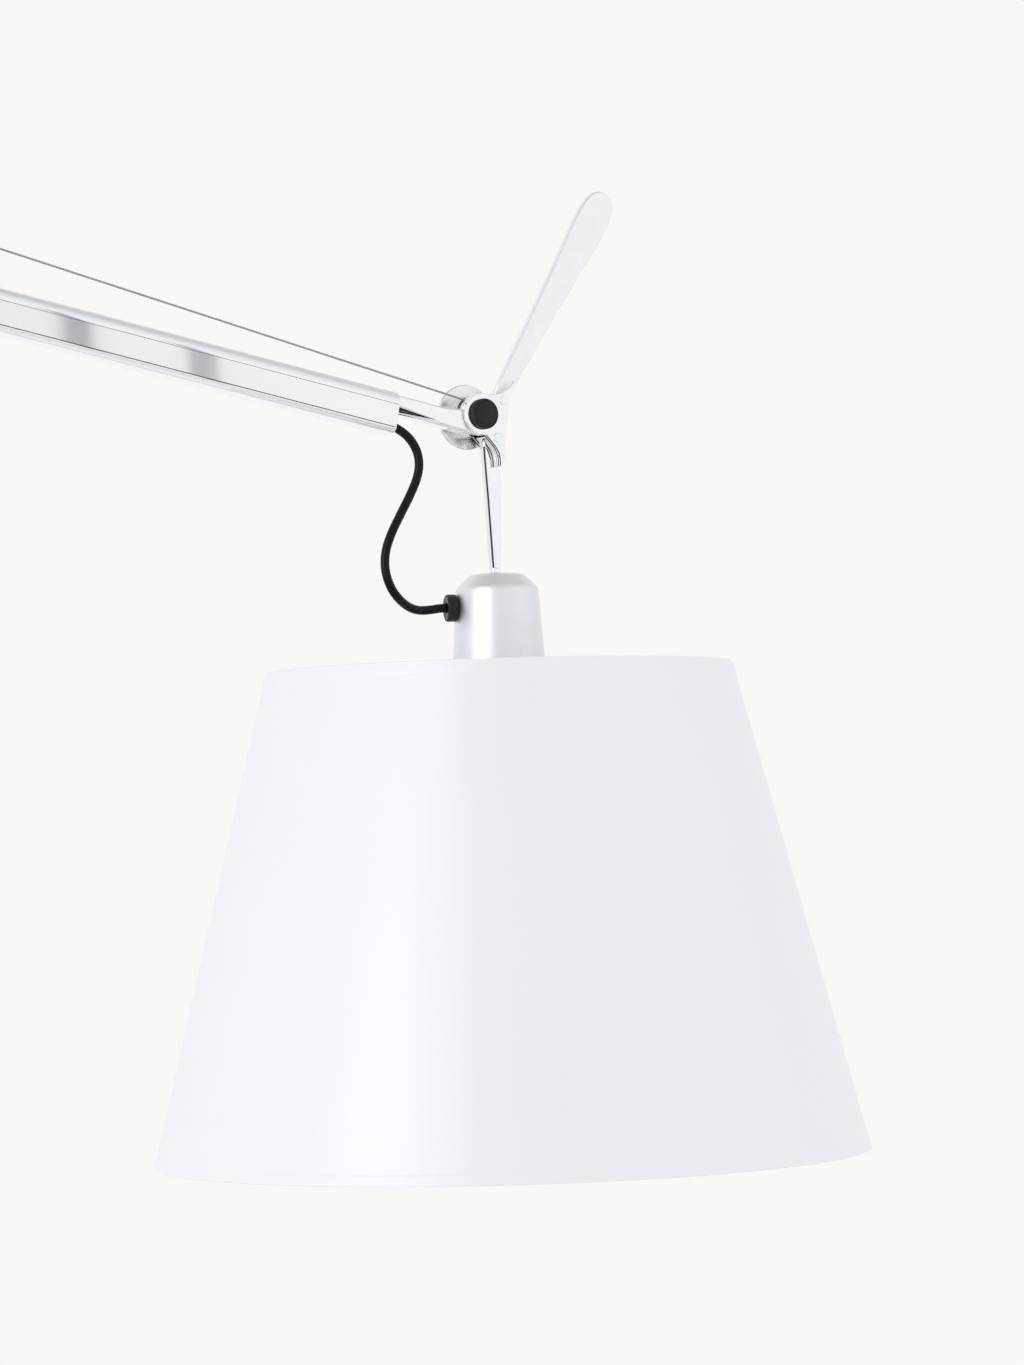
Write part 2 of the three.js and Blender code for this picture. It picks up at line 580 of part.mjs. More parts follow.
// The leg's outline, from its root between the plates to its foot on the cup. A margin makes
// the slot that it sits in.
function legOutline(margin = 0) {
  const footZ = CUP_Z + 0.6 + GAP;
  return [
    [3.5 - margin, -15.6 + margin], [11.4 + margin, -15.6 + margin], [12.2 + margin, -25],
    [15.9, -34], [16, -84], [15.8, footZ], [10.5, footZ], [6.8, -50], [4 - margin, -22]];
}

// A flat-headed rivet across the bracket.
function rivet([x, z]) {
  const face = CHEEK_OUT + GAP;
  return join(
    crossBar(x, z, RIVET_R, -face - 0.3, face + 0.3),
    crossBar(x, z, RIVET_HEAD_R, -face - 0.7, -face, SMALL),
    crossBar(x, z, RIVET_HEAD_R, face, face + 0.7, SMALL));
}

function bracket() {
  const holes = Object.values(RIVETS).map(([x, z]) =>
    crossBar(x, z, RIVET_R + GAP, -THROUGH, THROUGH));
  const bore = crossBar(0, 0, PIN_BORE, -THROUGH, THROUGH, SMALL);
  const plate = (y0, y1) => cut(slab(bracketOutline(), y0, y1), bore, ...holes);
  const tongue = (half, margin) => join(
    slab(capsule(RIVETS.upper, [19.2, 18.6], 2.8 + margin), -half, half),
    slab(handleOutline(margin), -half, half));
  const root = (half, margin) => join(
    slab(capsule(RIVETS.lower, [8, -19], 2.8 + margin), -half, half),
    slab(legOutline(margin), -half, half));
  const core = cut(slab(bracketOutline(), -LUG_HALF, LUG_HALF),
    crossBar(0, 0, EYE_R + 0.9, -THROUGH, THROUGH, WIDE),
    tongue(HANDLE_T / 2 + GAP, GAP), root(LEG_T / 2 + GAP, GAP),
    block(-THROUGH, 0, -THROUGH, THROUGH, -2 * THROUGH, 2 * THROUGH), ...holes);
  const footPin = crossBar(...LEG_PIN, LEG_PIN_R, -LEG_T / 2 - 0.5, LEG_T / 2 + 0.5);
  return group(
    part('bracket_plate_near', plate(-CHEEK_OUT, -CHEEK_IN), polished),
    part('bracket_plate_far', plate(CHEEK_IN, CHEEK_OUT), polished),
    part('bracket_core', core, polished),
    part('handle', cut(tongue(HANDLE_T / 2, 0), ...holes), satin),
    part('leg', cut(root(LEG_T / 2, 0), ...holes,
      crossBar(...LEG_PIN, LEG_PIN_R + GAP, -THROUGH, THROUGH)), polished),
    part('leg_pin', footPin, steel),
    part('rivet_upper', rivet(RIVETS.upper), steel),
    part('rivet_lower', rivet(RIVETS.lower), steel));
}

const cone = (z) => SHADE_TOP_R + SHADE_SLOPE * -(z + SHADE_DROP);

// The lamp holder and everything it carries, hanging from the middle of the cup's top.
function lampholder() {
  const cupFoot = -CUP_H;
  const cupSide = (z) => CUP_SHOULDER_R
    + ((CUP_FOOT_R - CUP_SHOULDER_R) * (-z - CUP_SHOULDER_H)) / (CUP_H - CUP_SHOULDER_H);
  const glandWay = V3(Math.cos(radians(GLAND_ANGLE)), Math.sin(radians(GLAND_ANGLE)), 0);
  const onGland = (distance) => glandWay.clone().multiplyScalar(distance).setZ(-GLAND_DROP);
  const cupFace = cupSide(-GLAND_DROP) + GAP + 0.5;

  const cup = cut(
    turned([
      [0, -CUP_T], [CUP_TOP_R - 2, -CUP_T], [CUP_SHOULDER_R - CUP_T, -CUP_SHOULDER_H - 0.8],
      [CUP_FOOT_R - CUP_T, cupFoot], [CUP_FOOT_R, cupFoot], [CUP_SHOULDER_R, -CUP_SHOULDER_H],
      [CUP_SHOULDER_R - 1, -CUP_SHOULDER_H + 1.4], [CUP_TOP_R + 1.4, -0.6], [CUP_TOP_R - 1, 0],
      [0, 0.6]], WIDE),
    rod(onGland(CUP_SHOULDER_R - 6), onGland(CUP_FOOT_R + 6), GLAND_SHANK_R + GAP));

  const gland = cut(
    join(
      rod(onGland(cupFace), onGland(cupFace + GLAND_FLANGE), GLAND_R, SMALL),
      rod(onGland(cupFace - 5), onGland(cupFace + 1), GLAND_SHANK_R)),
    rod(onGland(cupFace - 9), onGland(cupFace + GLAND_FLANGE + 2), CORD_R + RUN));

  const holderTop = -CUP_SHOULDER_H - 19;
  const holderFoot = cupFoot - 14;
  const holder = turned([
    [0, holderTop], [SOCKET_BODY_R - 4, holderTop], [SOCKET_BODY_R, holderTop - 4],
    [SOCKET_BODY_R, holderFoot], [SOCKET_BORE_R, holderFoot], [SOCKET_BORE_R, holderTop - 8],
    [0, holderTop - 8]]);

  const hubTop = cupFoot - GAP;
  const hubFoot = hubTop - FITTER_T;
  const wireZ = -SHADE_DROP - 3;
  const wireR = cone(wireZ) - SHADE_T - 2 * SHADE_WIRE_R - GAP + 0.8;
  const spokes = [0, 120, 240].map((degrees) => {
    const way = V3(Math.cos(radians(degrees + 30)), Math.sin(radians(degrees + 30)), 0);
    return rod(way.clone().multiplyScalar(FITTER_R - 2).setZ((hubTop + hubFoot) / 2),
      way.clone().multiplyScalar(wireR).setZ(wireZ), SHADE_WIRE_R, 8);
  });
  const wireRing = (radius, z) => turned(Array.from({ length: 5 }, (_, i) => {
    const angle = (2 * Math.PI * i) / 5;
    return [radius + SHADE_WIRE_R * Math.cos(angle), z + SHADE_WIRE_R * Math.sin(angle)];
  }), WIDE);
  const spider = join(ring(SOCKET_BODY_R + RUN, FITTER_R, hubFoot, hubTop),
    ...spokes, wireRing(wireR, wireZ));
  const nut = ring(SOCKET_BODY_R + RUN, FITTER_R - 2, hubFoot - GAP - 6, hubFoot - GAP);

  const shadeFoot = -SHADE_DROP - SHADE_H;
  const shade = turned([
    [SHADE_TOP_R - SHADE_T, -SHADE_DROP], [SHADE_FOOT_R - SHADE_T, shadeFoot],
    [SHADE_FOOT_R, shadeFoot], [SHADE_TOP_R, -SHADE_DROP]], 2 * WIDE);
  const hemZ = shadeFoot + 3;
  const hem = wireRing(cone(hemZ) - SHADE_T - 2 * SHADE_WIRE_R - GAP + 0.8, hemZ);

  const capTop = holderTop - 8 - 1;
  const capFoot = capTop - 24;
  const bulbCap = turned([[0, capTop], [6, capTop], [BULB_CAP_R - 1, capTop - 4],
    [BULB_CAP_R, capTop - 7], [BULB_CAP_R, capFoot], [0, capFoot]], SMALL);
  const glassTop = capFoot - GAP;
  const throat = holderFoot - 1;
  const glassFoot = glassTop - BULB_L;
  const bellyZ = glassFoot + BULB_R;
  const belly = (radius) => [20, 45, 70].map((degrees) =>
    [radius * Math.cos(radians(degrees)), bellyZ - radius * Math.sin(radians(degrees))]);
  const glass = turned([
    [BULB_CAP_R - 1.3, glassTop], [BULB_CAP_R - 0.3, throat], [BULB_R * 0.67, throat - 10],
    [BULB_R * 0.9, throat - 21], [BULB_R, bellyZ],
    ...belly(BULB_R), [0, glassFoot], [0, glassFoot + GLASS_T],
    ...belly(BULB_R - GLASS_T).reverse(), [BULB_R - GLASS_T, bellyZ],
    [BULB_R * 0.9 - GLASS_T, throat - 21], [BULB_R * 0.67 - GLASS_T, throat - 10],
    [BULB_CAP_R - 0.3 - GLASS_T, throat], [BULB_CAP_R - 1.3 - GLASS_T, glassTop]], MIDDLE);

  const hanging = group(
    part('lampholder_cup', cup, satin),
    part('flex_gland', gland, blackPlastic),
    part('lampholder', holder, porcelain),
    part('shade_spider', spider, steel),
    part('shade_ring_nut', nut, porcelain),
    part('shade', shade, fabric),
    part('shade_hem_wire', hem, steel),
    part('bulb_cap', bulbCap, brass),
    part('bulb_glass', glass, opalGlass));
  hanging.position.set(CUP_X, 0, CUP_Z);
  hanging.rotation.y = -radians(HEAD_TILT);
  return hanging;
}

// The flex from the arm's open end to the gland, given from the wrist pivot.
function flex() {
  const route = [
    [-86, 0, -4.6], [-72, 0, -6.8], [-61.1, 0, -8.7], [-52.8, 0, -11.3], [-45, 0, -16.4],
    [-39.8, 0.2, -23.7], [-38.3, 0.4, -31.4], [-39.6, 0.7, -39], [-44, 1, -49.1],
    [-49.7, 1.4, -59.8], [-55.6, 1.9, -71.4], [-58.9, 2.5, -81], [-59.3, 3.3, -89.1],
    [-57.6, 4.1, -96.5], [-53.4, 5.4, -103.7], [-46.6, 7.5, -109.6], [-38.4, 10.2, -113.4],
    [-31, 12, -114.6], [-23.2, 12, -114], [-18, 10.4, -113.1], [-12.7, 8.7, -112.8],
    [-8, 7.2, -112.7]];
  const curve = new THREE.CatmullRomCurve3(route.map(([x, y, z]) => V3(x, y, z)));
  return part('flex', swept(curve, CORD_R, 8, 36), blackRubber);
}

// ---------------------------------------------------------------- assembly
const { assembly: turretGroup, anchor: turretAnchor } = turret();
const hornUp = radians(90);
const lowerArm = arm('lower_arm', LOWER_ANGLE, turretAnchor, hornUp);
const upperArm = arm('upper_arm', UPPER_ANGLE, hornTip(hornUp));

const shoulder = V3(0, 0, SHOULDER_Z);
const elbow = shoulder.clone().add(lowerArm.far);
const wrist = elbow.clone().add(upperArm.far);

const shoulderSet = group(lowerArm.assembly, jointHardware('shoulder'));
shoulderSet.position.copy(shoulder);
const elbowSet = group(upperArm.assembly, jointHardware('elbow'));
elbowSet.position.copy(elbow);
const headSet = group(bracket(), lampholder(), flex(), jointHardware('wrist'));
headSet.position.copy(wrist);

const lamp = group(base(), turretGroup, shoulderSet, elbowSet, headSet);
lamp.name = 'adjustable_arm_floor_lamp';

export default lamp;
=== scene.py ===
"""An adjustable arm floor lamp with a tapered fabric shade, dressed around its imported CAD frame.

Sizes are millimetres in each sub-assembly's own frame, and metres in the scene. Every new piece is
a surface worked out on a grid: an outline carried along an axis, a profile turned about an axis,
sections joined into a bar, or a circle carried along a path.
"""

import json
import logging
import math
from dataclasses import dataclass
from enum import Enum
from typing import Optional, Sequence

import bpy
import numpy as np
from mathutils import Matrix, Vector

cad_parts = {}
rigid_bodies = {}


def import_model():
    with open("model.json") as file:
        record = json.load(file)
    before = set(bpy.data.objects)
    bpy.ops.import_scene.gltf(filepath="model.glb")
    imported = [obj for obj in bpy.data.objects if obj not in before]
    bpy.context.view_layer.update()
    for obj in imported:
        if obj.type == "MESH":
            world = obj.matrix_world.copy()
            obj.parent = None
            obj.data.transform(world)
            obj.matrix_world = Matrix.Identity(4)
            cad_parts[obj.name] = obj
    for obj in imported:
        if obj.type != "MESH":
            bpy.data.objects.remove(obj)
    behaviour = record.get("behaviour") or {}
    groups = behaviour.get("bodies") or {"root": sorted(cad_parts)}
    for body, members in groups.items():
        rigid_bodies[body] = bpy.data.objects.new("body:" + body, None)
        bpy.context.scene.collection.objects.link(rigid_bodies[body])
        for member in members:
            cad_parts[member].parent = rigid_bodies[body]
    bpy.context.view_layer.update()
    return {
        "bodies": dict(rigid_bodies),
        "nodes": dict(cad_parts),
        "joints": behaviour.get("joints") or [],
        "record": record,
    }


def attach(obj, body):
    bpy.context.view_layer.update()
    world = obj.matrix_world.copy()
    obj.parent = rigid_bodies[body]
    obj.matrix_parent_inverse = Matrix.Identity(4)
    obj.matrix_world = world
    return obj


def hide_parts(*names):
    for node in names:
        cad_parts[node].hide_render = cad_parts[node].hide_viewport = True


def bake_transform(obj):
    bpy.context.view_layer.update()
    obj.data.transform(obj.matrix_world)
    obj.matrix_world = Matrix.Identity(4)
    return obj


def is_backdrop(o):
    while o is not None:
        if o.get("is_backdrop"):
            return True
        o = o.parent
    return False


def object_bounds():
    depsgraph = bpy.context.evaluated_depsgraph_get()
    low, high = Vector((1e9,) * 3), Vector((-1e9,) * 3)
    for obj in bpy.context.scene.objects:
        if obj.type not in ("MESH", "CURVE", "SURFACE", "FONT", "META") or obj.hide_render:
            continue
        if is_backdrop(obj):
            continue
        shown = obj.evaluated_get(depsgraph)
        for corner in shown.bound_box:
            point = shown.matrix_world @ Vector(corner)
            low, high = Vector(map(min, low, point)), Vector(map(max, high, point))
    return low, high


LOG = logging.getLogger("floor_lamp")
MM = 0.001
UPPER_ANGLE = -9.2
SURFACE_UV = "surface"
Point = tuple[float, float, float]
Colour = tuple[float, float, float]


# ---------------------------------------------------------------- shapes
class Along(Enum):
    """The axis that a piece is carried along or turned about, as (first, second, along) axes."""

    X = (1, 2, 0)
    Y = (0, 2, 1)
    Z = (0, 1, 2)


class Ends(Enum):
    """How the first and last rows of a grid are finished."""

    LOOP = "the last row joins the first"
    FLAT = "each end row is one flat face"
    POLE = "each end row is a single point"


@dataclass(frozen=True)
class Placement:
    """Where a sub-assembly's own frame stands in the lamp.

    A point is swung about the local upright, turned from +X towards +Z, and moved to the origin.
    """

    origin: Point
    turn: float = 0.0
    swing: float = 0.0

    def to_lamp(self, points: np.ndarray) -> np.ndarray:
        """Moves points from millimetres in this frame to metres in the lamp.

        Args:
            points: An array whose last axis is x, y, z.

        Returns:
            The same array in the lamp's frame.
        """
        swing, turn = math.radians(self.swing), math.radians(self.turn)
        x = points[..., 0] * math.cos(swing) - points[..., 1] * math.sin(swing)
        y = points[..., 0] * math.sin(swing) + points[..., 1] * math.cos(swing)
        z = points[..., 2]
        moved = np.stack([x * math.cos(turn) - z * math.sin(turn), y,
                          x * math.sin(turn) + z * math.cos(turn)], axis=-1)
        return np.asarray(self.origin) + moved * MM

    def at(self, point: Sequence[float]) -> Point:
        """One point of this frame, in the lamp."""
        return tuple(float(v) for v in self.to_lamp(np.asarray(point, float)))


def unit(vectors: np.ndarray) -> np.ndarray:
    """Each vector divided by its own length."""
    return vectors / np.maximum(np.linalg.norm(vectors, axis=-1, keepdims=True), 1e-12)


def arc(x: float, z: float, radius: float, start: float, stop: float, count: int = 24) -> np.ndarray:
    """Points of a circle's arc: centre + radius times (cos, sin) of evenly spaced degrees."""
    angles = np.radians(np.linspace(start, stop, count))
    return np.stack([x + radius * np.cos(angles), z + radius * np.sin(angles)], axis=1)


def bend(start: Sequence[float], pull: Sequence[float], stop: Sequence[float],
         count: int = 14) -> np.ndarray:
    """A parabola's arc: (1-t)^2 start + 2t(1-t) pull + t^2 stop, for t from 0 to 1."""
    t = np.linspace(0.0, 1.0, count)[:, None]
    return (1 - t) ** 2 * np.array(start) + 2 * t * (1 - t) * np.array(pull) + t ** 2 * np.array(stop)


def outline(*runs: Sequence) -> np.ndarray:
    """Joins runs of points into one closed outline, anticlockwise, with repeated points removed.

    Args:
        runs: Arrays or lists of points, in order.

    Returns:
        An (n, 2) array.
    """
    points = np.concatenate([np.atleast_2d(np.asarray(run, float)) for run in runs])
    gap = np.linalg.norm(points - np.roll(points, 1, axis=0), axis=1)
    points = points[gap > 0.02]
    after = np.roll(points, -1, axis=0)
    area = np.sum(points[:, 0] * after[:, 1] - after[:, 0] * points[:, 1])
    return points if area > 0 else points[::-1]


def rounded(corners: np.ndarray, radius: float, closed: bool = True, steps: int = 5) -> np.ndarray:
    """Rounds an outline's corners, each with a parabola that is tangent to both its sides.

    A corner P turns into (1-t)^2 A + 2t(1-t) P + t^2 B, where A and B lie on its two sides at the
    given distance from P, or at 0.45 of a side where that is shorter.

    Args:
        corners: Points, with shape (..., n, 2).
        radius: The distance from a corner at which its rounding starts.
        closed: Whether the last point joins the first. If not, both end points stay.
        steps: Points in each rounding.

    Returns:
        The rounded points, with shape (..., m, 2).
    """
    back = np.roll(corners, 1, axis=-2) - corners
    ahead = np.roll(corners, -1, axis=-2) - corners
    reach_back = np.minimum(radius, 0.45 * np.linalg.norm(back, axis=-1, keepdims=True))
    reach_ahead = np.minimum(radius, 0.45 * np.linalg.norm(ahead, axis=-1, keepdims=True))
    a = (corners + unit(back) * reach_back)[..., None, :]
    b = (corners + unit(ahead) * reach_ahead)[..., None, :]
    p = corners[..., None, :]
    t = np.linspace(0.0, 1.0, steps)[:, None]
    curves = (1 - t) ** 2 * a + 2 * t * (1 - t) * p + t ** 2 * b
    if closed:
        return curves.reshape(*corners.shape[:-2], -1, 2)
    inner = curves[..., 1:-1, :, :].reshape(*corners.shape[:-2], -1, 2)
    return np.concatenate([corners[..., :1, :], inner, corners[..., -1:, :]], axis=-2)


def rounded_box(width: float, height: float, top: float, foot: Optional[float] = None,
                steps: int = 9) -> np.ndarray:
    """An upright rectangle about the origin whose corners are quarter circles.

    Args:
        width: Its width.
        height: Its height.
        top: The radius of its upper corners.
        foot: The radius of its lower corners, if it isn't the same.
        steps: Points in each corner.

    Returns:
        The outline, anticlockwise.
    """
    foot = top if foot is None else foot
    w, h = width / 2, height / 2
    return outline(arc(w - top, h - top, top, 0, 90, steps),
                   arc(top - w, h - top, top, 90, 180, steps),
                   arc(foot - w, foot - h, foot, 180, 270, steps),
                   arc(w - foot, foot - h, foot, 270, 360, steps))


def shrunk(shape: np.ndarray, distance: float) -> np.ndarray:
    """Moves every point of an anticlockwise outline inwards, along the mean of its sides' normals.

    Args:
        shape: An (n, 2) outline.
        distance: How far each side moves in.

    Returns:
        The smaller outline.
    """
    before = unit(shape - np.roll(shape, 1, axis=0))
    after = unit(np.roll(shape, -1, axis=0) - shape)
    inward = unit(np.stack([-(before + after)[:, 1], (before + after)[:, 0]], axis=1))
    share = np.clip(np.sum(inward * np.stack([-after[:, 1], after[:, 0]], axis=1), axis=1), 0.6, 1)
    return shape + inward * (distance / share)[:, None]


def edge_stations(start: float, stop: float, first: float, last: float, steps: int = 5) -> np.ndarray:
    """Stations of a slab whose rims are quarter circles of radius first and last.

    At angle a of a rim of radius e, the outline has moved in by e(1 - sin a), and the station lies
    e(1 - cos a) from the face.

    Args:
        start: Where the first face lies.
        stop: Where the last face lies.
        first: The first rim's radius. 0 leaves it square.
        last: The last rim's radius.
        steps: Stations in each rim.

    Returns:
        An (m, 2) array of (inset, position).
    """
    a = np.radians(np.linspace(0, 90, steps))
    head = (np.stack([first * (1 - np.sin(a)), start + first * (1 - np.cos(a))], axis=1)
            if first else np.array([[0.0, start]]))
    tail = (np.stack([last * (1 - np.sin(a)), stop - last * (1 - np.cos(a))], axis=1)[::-1]
            if last else np.array([[0.0, stop]]))
    return np.concatenate([head, tail])


def spline(points: np.ndarray, count: int = 8) -> np.ndarray:
    """A centripetal Catmull-Rom curve through points, by the pyramid of linear blends.

    Args:
        points: An (n, 3) array.
        count: Points on each span.

    Returns:
        The curve's points.
    """
    first, last = 2 * points[0] - points[1], 2 * points[-1] - points[-2]
    p = np.concatenate([[first], points, [last]])
    knots = np.concatenate([[0], np.cumsum(np.linalg.norm(np.diff(p, axis=0), axis=1) ** 0.5)])
    t0, t1, t2, t3 = (knots[i:len(knots) - 3 + i, None, None] for i in range(4))
    p0, p1, p2, p3 = (p[i:len(p) - 3 + i, None, :] for i in range(4))
    t = t1 + (t2 - t1) * np.linspace(0, 1, count, endpoint=False)[None, :, None]

    def blend(p: np.ndarray, q: np.ndarray, start: np.ndarray, stop: np.ndarray) -> np.ndarray:
        """The point at t on the straight line from p at start to q at stop."""
        return (p * (stop - t) + q * (t - start)) / (stop - start)

    middle = blend(p1, p2, t1, t2)
    lead_in = blend(blend(p0, p1, t0, t1), middle, t0, t2)
    lead_out = blend(middle, blend(p2, p3, t2, t3), t1, t3)
    curve = blend(lead_in, lead_out, t1, t2)
    return np.concatenate([curve.reshape(-1, 3), points[-1:]])


# ---------------------------------------------------------------- meshes
def write_piece(name: str, points: np.ndarray, faces: list[np.ndarray], uvs: list[np.ndarray],
                even: bool = True) -> bpy.types.Object:
    """Puts a surface into a new object at the origin, with its faces turned outwards.

    The side that faces point to is found from the enclosed volume: a sixth of the sum of the
    triple products of each face's fan of triangles.

    Args:
        name: The object's name.
        points: The vertices, in metres.
        faces: Arrays of vertex numbers, one array for each number of sides.
        uvs: A UV array for each array of faces.
        even: Whether broad faces lead the shading at the rims.

    Returns:
        The object.
    """
    volume = 0.0
    for batch in faces:
        p = points[batch]
        volume += float(np.sum(p[:, None, 0] * np.cross(p[:, 1:-1], p[:, 2:])))
    if volume < 0:
        faces, uvs = [batch[:, ::-1] for batch in faces], [uv[:, ::-1] for uv in uvs]
    mesh = bpy.data.meshes.new(name)
    mesh.from_pydata(points.tolist(), [], [face for batch in faces for face in batch.tolist()])
    layer = mesh.uv_layers.new(name=SURFACE_UV)
    layer.uv.foreach_set("vector", np.concatenate([uv.ravel() for uv in uvs]).astype(np.float32))
    mesh.shade_smooth()
    mesh.set_sharp_from_angle(angle=math.radians(48))
    mesh.update()
    piece = bpy.data.objects.new(name, mesh)
    bpy.context.scene.collection.objects.link(piece)
    if even:
        weighting = piece.modifiers.new("broad_faces_lead", "WEIGHTED_NORMAL")
        weighting.keep_sharp = True
        weighting.weight = 60
    return piece


def grid_piece(name: str, grid: np.ndarray, ends: Ends, even: bool = True) -> bpy.types.Object:
    """Makes a surface from rows of points, each row a closed ring.

    The UV is the distance in metres down the rows and round the rings.

    Args:
        name: The object's name.
        grid: Points in metres, with shape (rows, columns, 3).
        ends: How the first and last rows are finished.
        even: Whether broad faces lead the shading at the rims.

    Returns:
        The object.
    """
    rows, columns = grid.shape[:2]
    number = np.arange(rows * columns).reshape(rows, columns)
    loop = ends is Ends.LOOP
    closed = np.concatenate([grid, grid[:1]]) if loop else grid
    down = np.concatenate([[0], np.cumsum(
        np.linalg.norm(np.diff(closed, axis=0), axis=-1).mean(axis=1))])
    ring = np.concatenate([grid, grid[:, :1]], axis=1)
    widest = np.argmax(np.linalg.norm(np.diff(ring, axis=1), axis=-1).sum(axis=1))
    around = np.concatenate([[0], np.cumsum(np.linalg.norm(np.diff(ring[widest], axis=0), axis=-1))])
    right = np.roll(number, -1, axis=1)
    below, below_right = np.roll(number, -1, axis=0), np.roll(right, -1, axis=0)
    u, v = np.meshgrid(down, around, indexing="ij")
    uv = np.stack([u, v], axis=-1)
    quads = np.stack([number, right, below_right, below], axis=-1)
    strips = rows if loop else rows - 1
    quad_uv = np.stack([uv[:strips, :-1], uv[:strips, 1:], uv[1:strips + 1, 1:],
                        uv[1:strips + 1, :-1]], axis=-2)
    quads = quads[:strips]
    points = grid.reshape(-1, 3)
    if ends is not Ends.POLE:
        faces, uvs = [quads.reshape(-1, 4)], [quad_uv.reshape(-1, 4, 2)]
        if ends is Ends.FLAT:
            faces.append(np.stack([number[0][::-1], number[-1]]))
            uvs.append(np.stack([uv[0, :-1][::-1], uv[-1, :-1]]))
        return write_piece(name, points, faces, uvs, even)
    first, last = quads[0][:, [0, 2, 3]], quads[-1][:, [0, 1, 2]]
    first[:, 0], last[:, 2] = number[0, 0], number[-1, 0]
    used = np.concatenate([number[0, :1], number[1:-1].ravel(), number[-1, :1]])
    place = np.zeros(rows * columns, int)
    place[used] = np.arange(len(used))
    triangles = np.concatenate([first, last])
    triangle_uv = np.concatenate([quad_uv[0][:, [0, 2, 3]], quad_uv[-1][:, [0, 1, 2]]])
    return write_piece(name, points[used],
                       [place[quads[1:-1]].reshape(-1, 4), place[triangles]],
                       [quad_uv[1:-1].reshape(-1, 4, 2), triangle_uv], even)


def laid(first: np.ndarray, second: np.ndarray, along: np.ndarray, axis: Along) -> np.ndarray:
    """Puts three arrays of coordinates on the axes that Along names."""
    points = np.empty(np.broadcast(first, second, along).shape + (3,))
    for index, values in zip(axis.value, (first, second, along)):
        points[..., index] = values
    return points


def prism(name: str, shape: np.ndarray, stations: np.ndarray, axis: Along, place: Placement,
          ends: Ends = Ends.FLAT) -> bpy.types.Object:
    """Carries an outline along an axis, moved in by each station's inset.

    Args:
        name: The object's name.
        shape: An (n, 2) outline, anticlockwise.
        stations: An (m, 2) array of (inset, position along the axis).
        axis: The axis.
        place: The frame that the sizes are given in.
        ends: FLAT for a slab, LOOP for a tube whose stations go out and back.

    Returns:
        The object.
    """
    rings = np.stack([shrunk(shape, inset) if inset else shape for inset in stations[:, 0]])
    grid = laid(rings[..., 0], rings[..., 1], stations[:, 1:2], axis)
    return grid_piece(name, place.to_lamp(grid), ends)


def turned(name: str, profile: Sequence[Sequence[float]], axis: Along, place: Placement,
           rounding: float = 0.5, sides: int = 64) -> bpy.types.Object:
    """Turns a profile about an axis: radius times cos and sin of the angle, and the height.

    A profile that starts and ends on the axis closes there, and any other one joins its ends.

    Args:
        name: The object's name.
        profile: Pairs of radius and height.
        axis: The axis.
        place: The frame that the sizes are given in.
        rounding: How far from each corner its rounding starts.
        sides: Points in a ring.

    Returns:
        The object.
    """
    corners = np.asarray(profile, float)
    solid = corners[0, 0] == 0 and corners[-1, 0] == 0
    line = rounded(corners, rounding, closed=not solid)
    angles = np.linspace(0, 2 * np.pi, sides, endpoint=False)
    grid = laid(line[:, :1] * np.cos(angles), line[:, :1] * np.sin(angles), line[:, 1:], axis)
    return grid_piece(name, place.to_lamp(grid), Ends.POLE if solid else Ends.LOOP)


def tube(name: str, path: np.ndarray, radius: float | np.ndarray, side: Sequence[float],
         sides: int = 20, even: bool = False) -> bpy.types.Object:
    """Carries a circle along a path: path + radius (cos a times across + sin a times up).

    Across is the unit cross product of a fixed side vector and the path's direction, and up is
    the cross product of the direction and across.

    Args:
        name: The object's name.
        path: An (n, 3) array in metres.
        radius: One radius, or one for each point, in metres.
        side: A vector that the path never runs along.
        sides: Points in a ring.
        even: Whether broad faces lead the shading.

    Returns:
        The object.
    """
    way = unit(np.gradient(path, axis=0))
    across = unit(np.cross(np.asarray(side, float), way))
    up = np.cross(way, across)
    angles = np.linspace(0, 2 * np.pi, sides, endpoint=False)[None, :, None]
    reach = np.broadcast_to(np.asarray(radius, float), (len(path),))[:, None, None]
    grid = path[:, None] + reach * (np.cos(angles) * across[:, None] + np.sin(angles) * up[:, None])
    return grid_piece(name, grid, Ends.FLAT, even)


# ---------------------------------------------------------------- shared effects
class Graph:
    """Adds nodes to a tree and links them."""

    def __init__(self, tree: bpy.types.NodeTree) -> None:
        """Works on one tree."""
        self.tree = tree

    def add(self, kind: str, inputs: Optional[dict] = None, **settings: object) -> bpy.types.Node:
        """Adds a node, sets it, and fills or links its inputs.

        Args:
            kind: The node's type.
            inputs: Values or output sockets by input name or number.
            settings: The node's own settings.

        Returns:
            The node.
        """
        node = self.tree.nodes.new(kind)
        for key, value in settings.items():
            setattr(node, key, value)
        for key, value in (inputs or {}).items():
            if isinstance(value, bpy.types.NodeSocket):
                self.tree.links.new(value, node.inputs[key])
            else:
                node.inputs[key].default_value = value
        return node

    def maths(self, operation: str, first: object, second: object = 0.0) -> bpy.types.NodeSocket:
        """One sum of two values or sockets."""
        return self.add("ShaderNodeMath", {0: first, 1: second}, operation=operation).outputs[0]

    def span(self, value: object, low: float, high: float, to_low: float,
             to_high: float) -> bpy.types.NodeSocket:
        """Maps low..high to to_low..to_high, clamped."""
        return self.add("ShaderNodeMapRange", {"Value": value, "From Min": low, "From Max": high,
                                               "To Min": to_low, "To Max": to_high}).outputs[0]


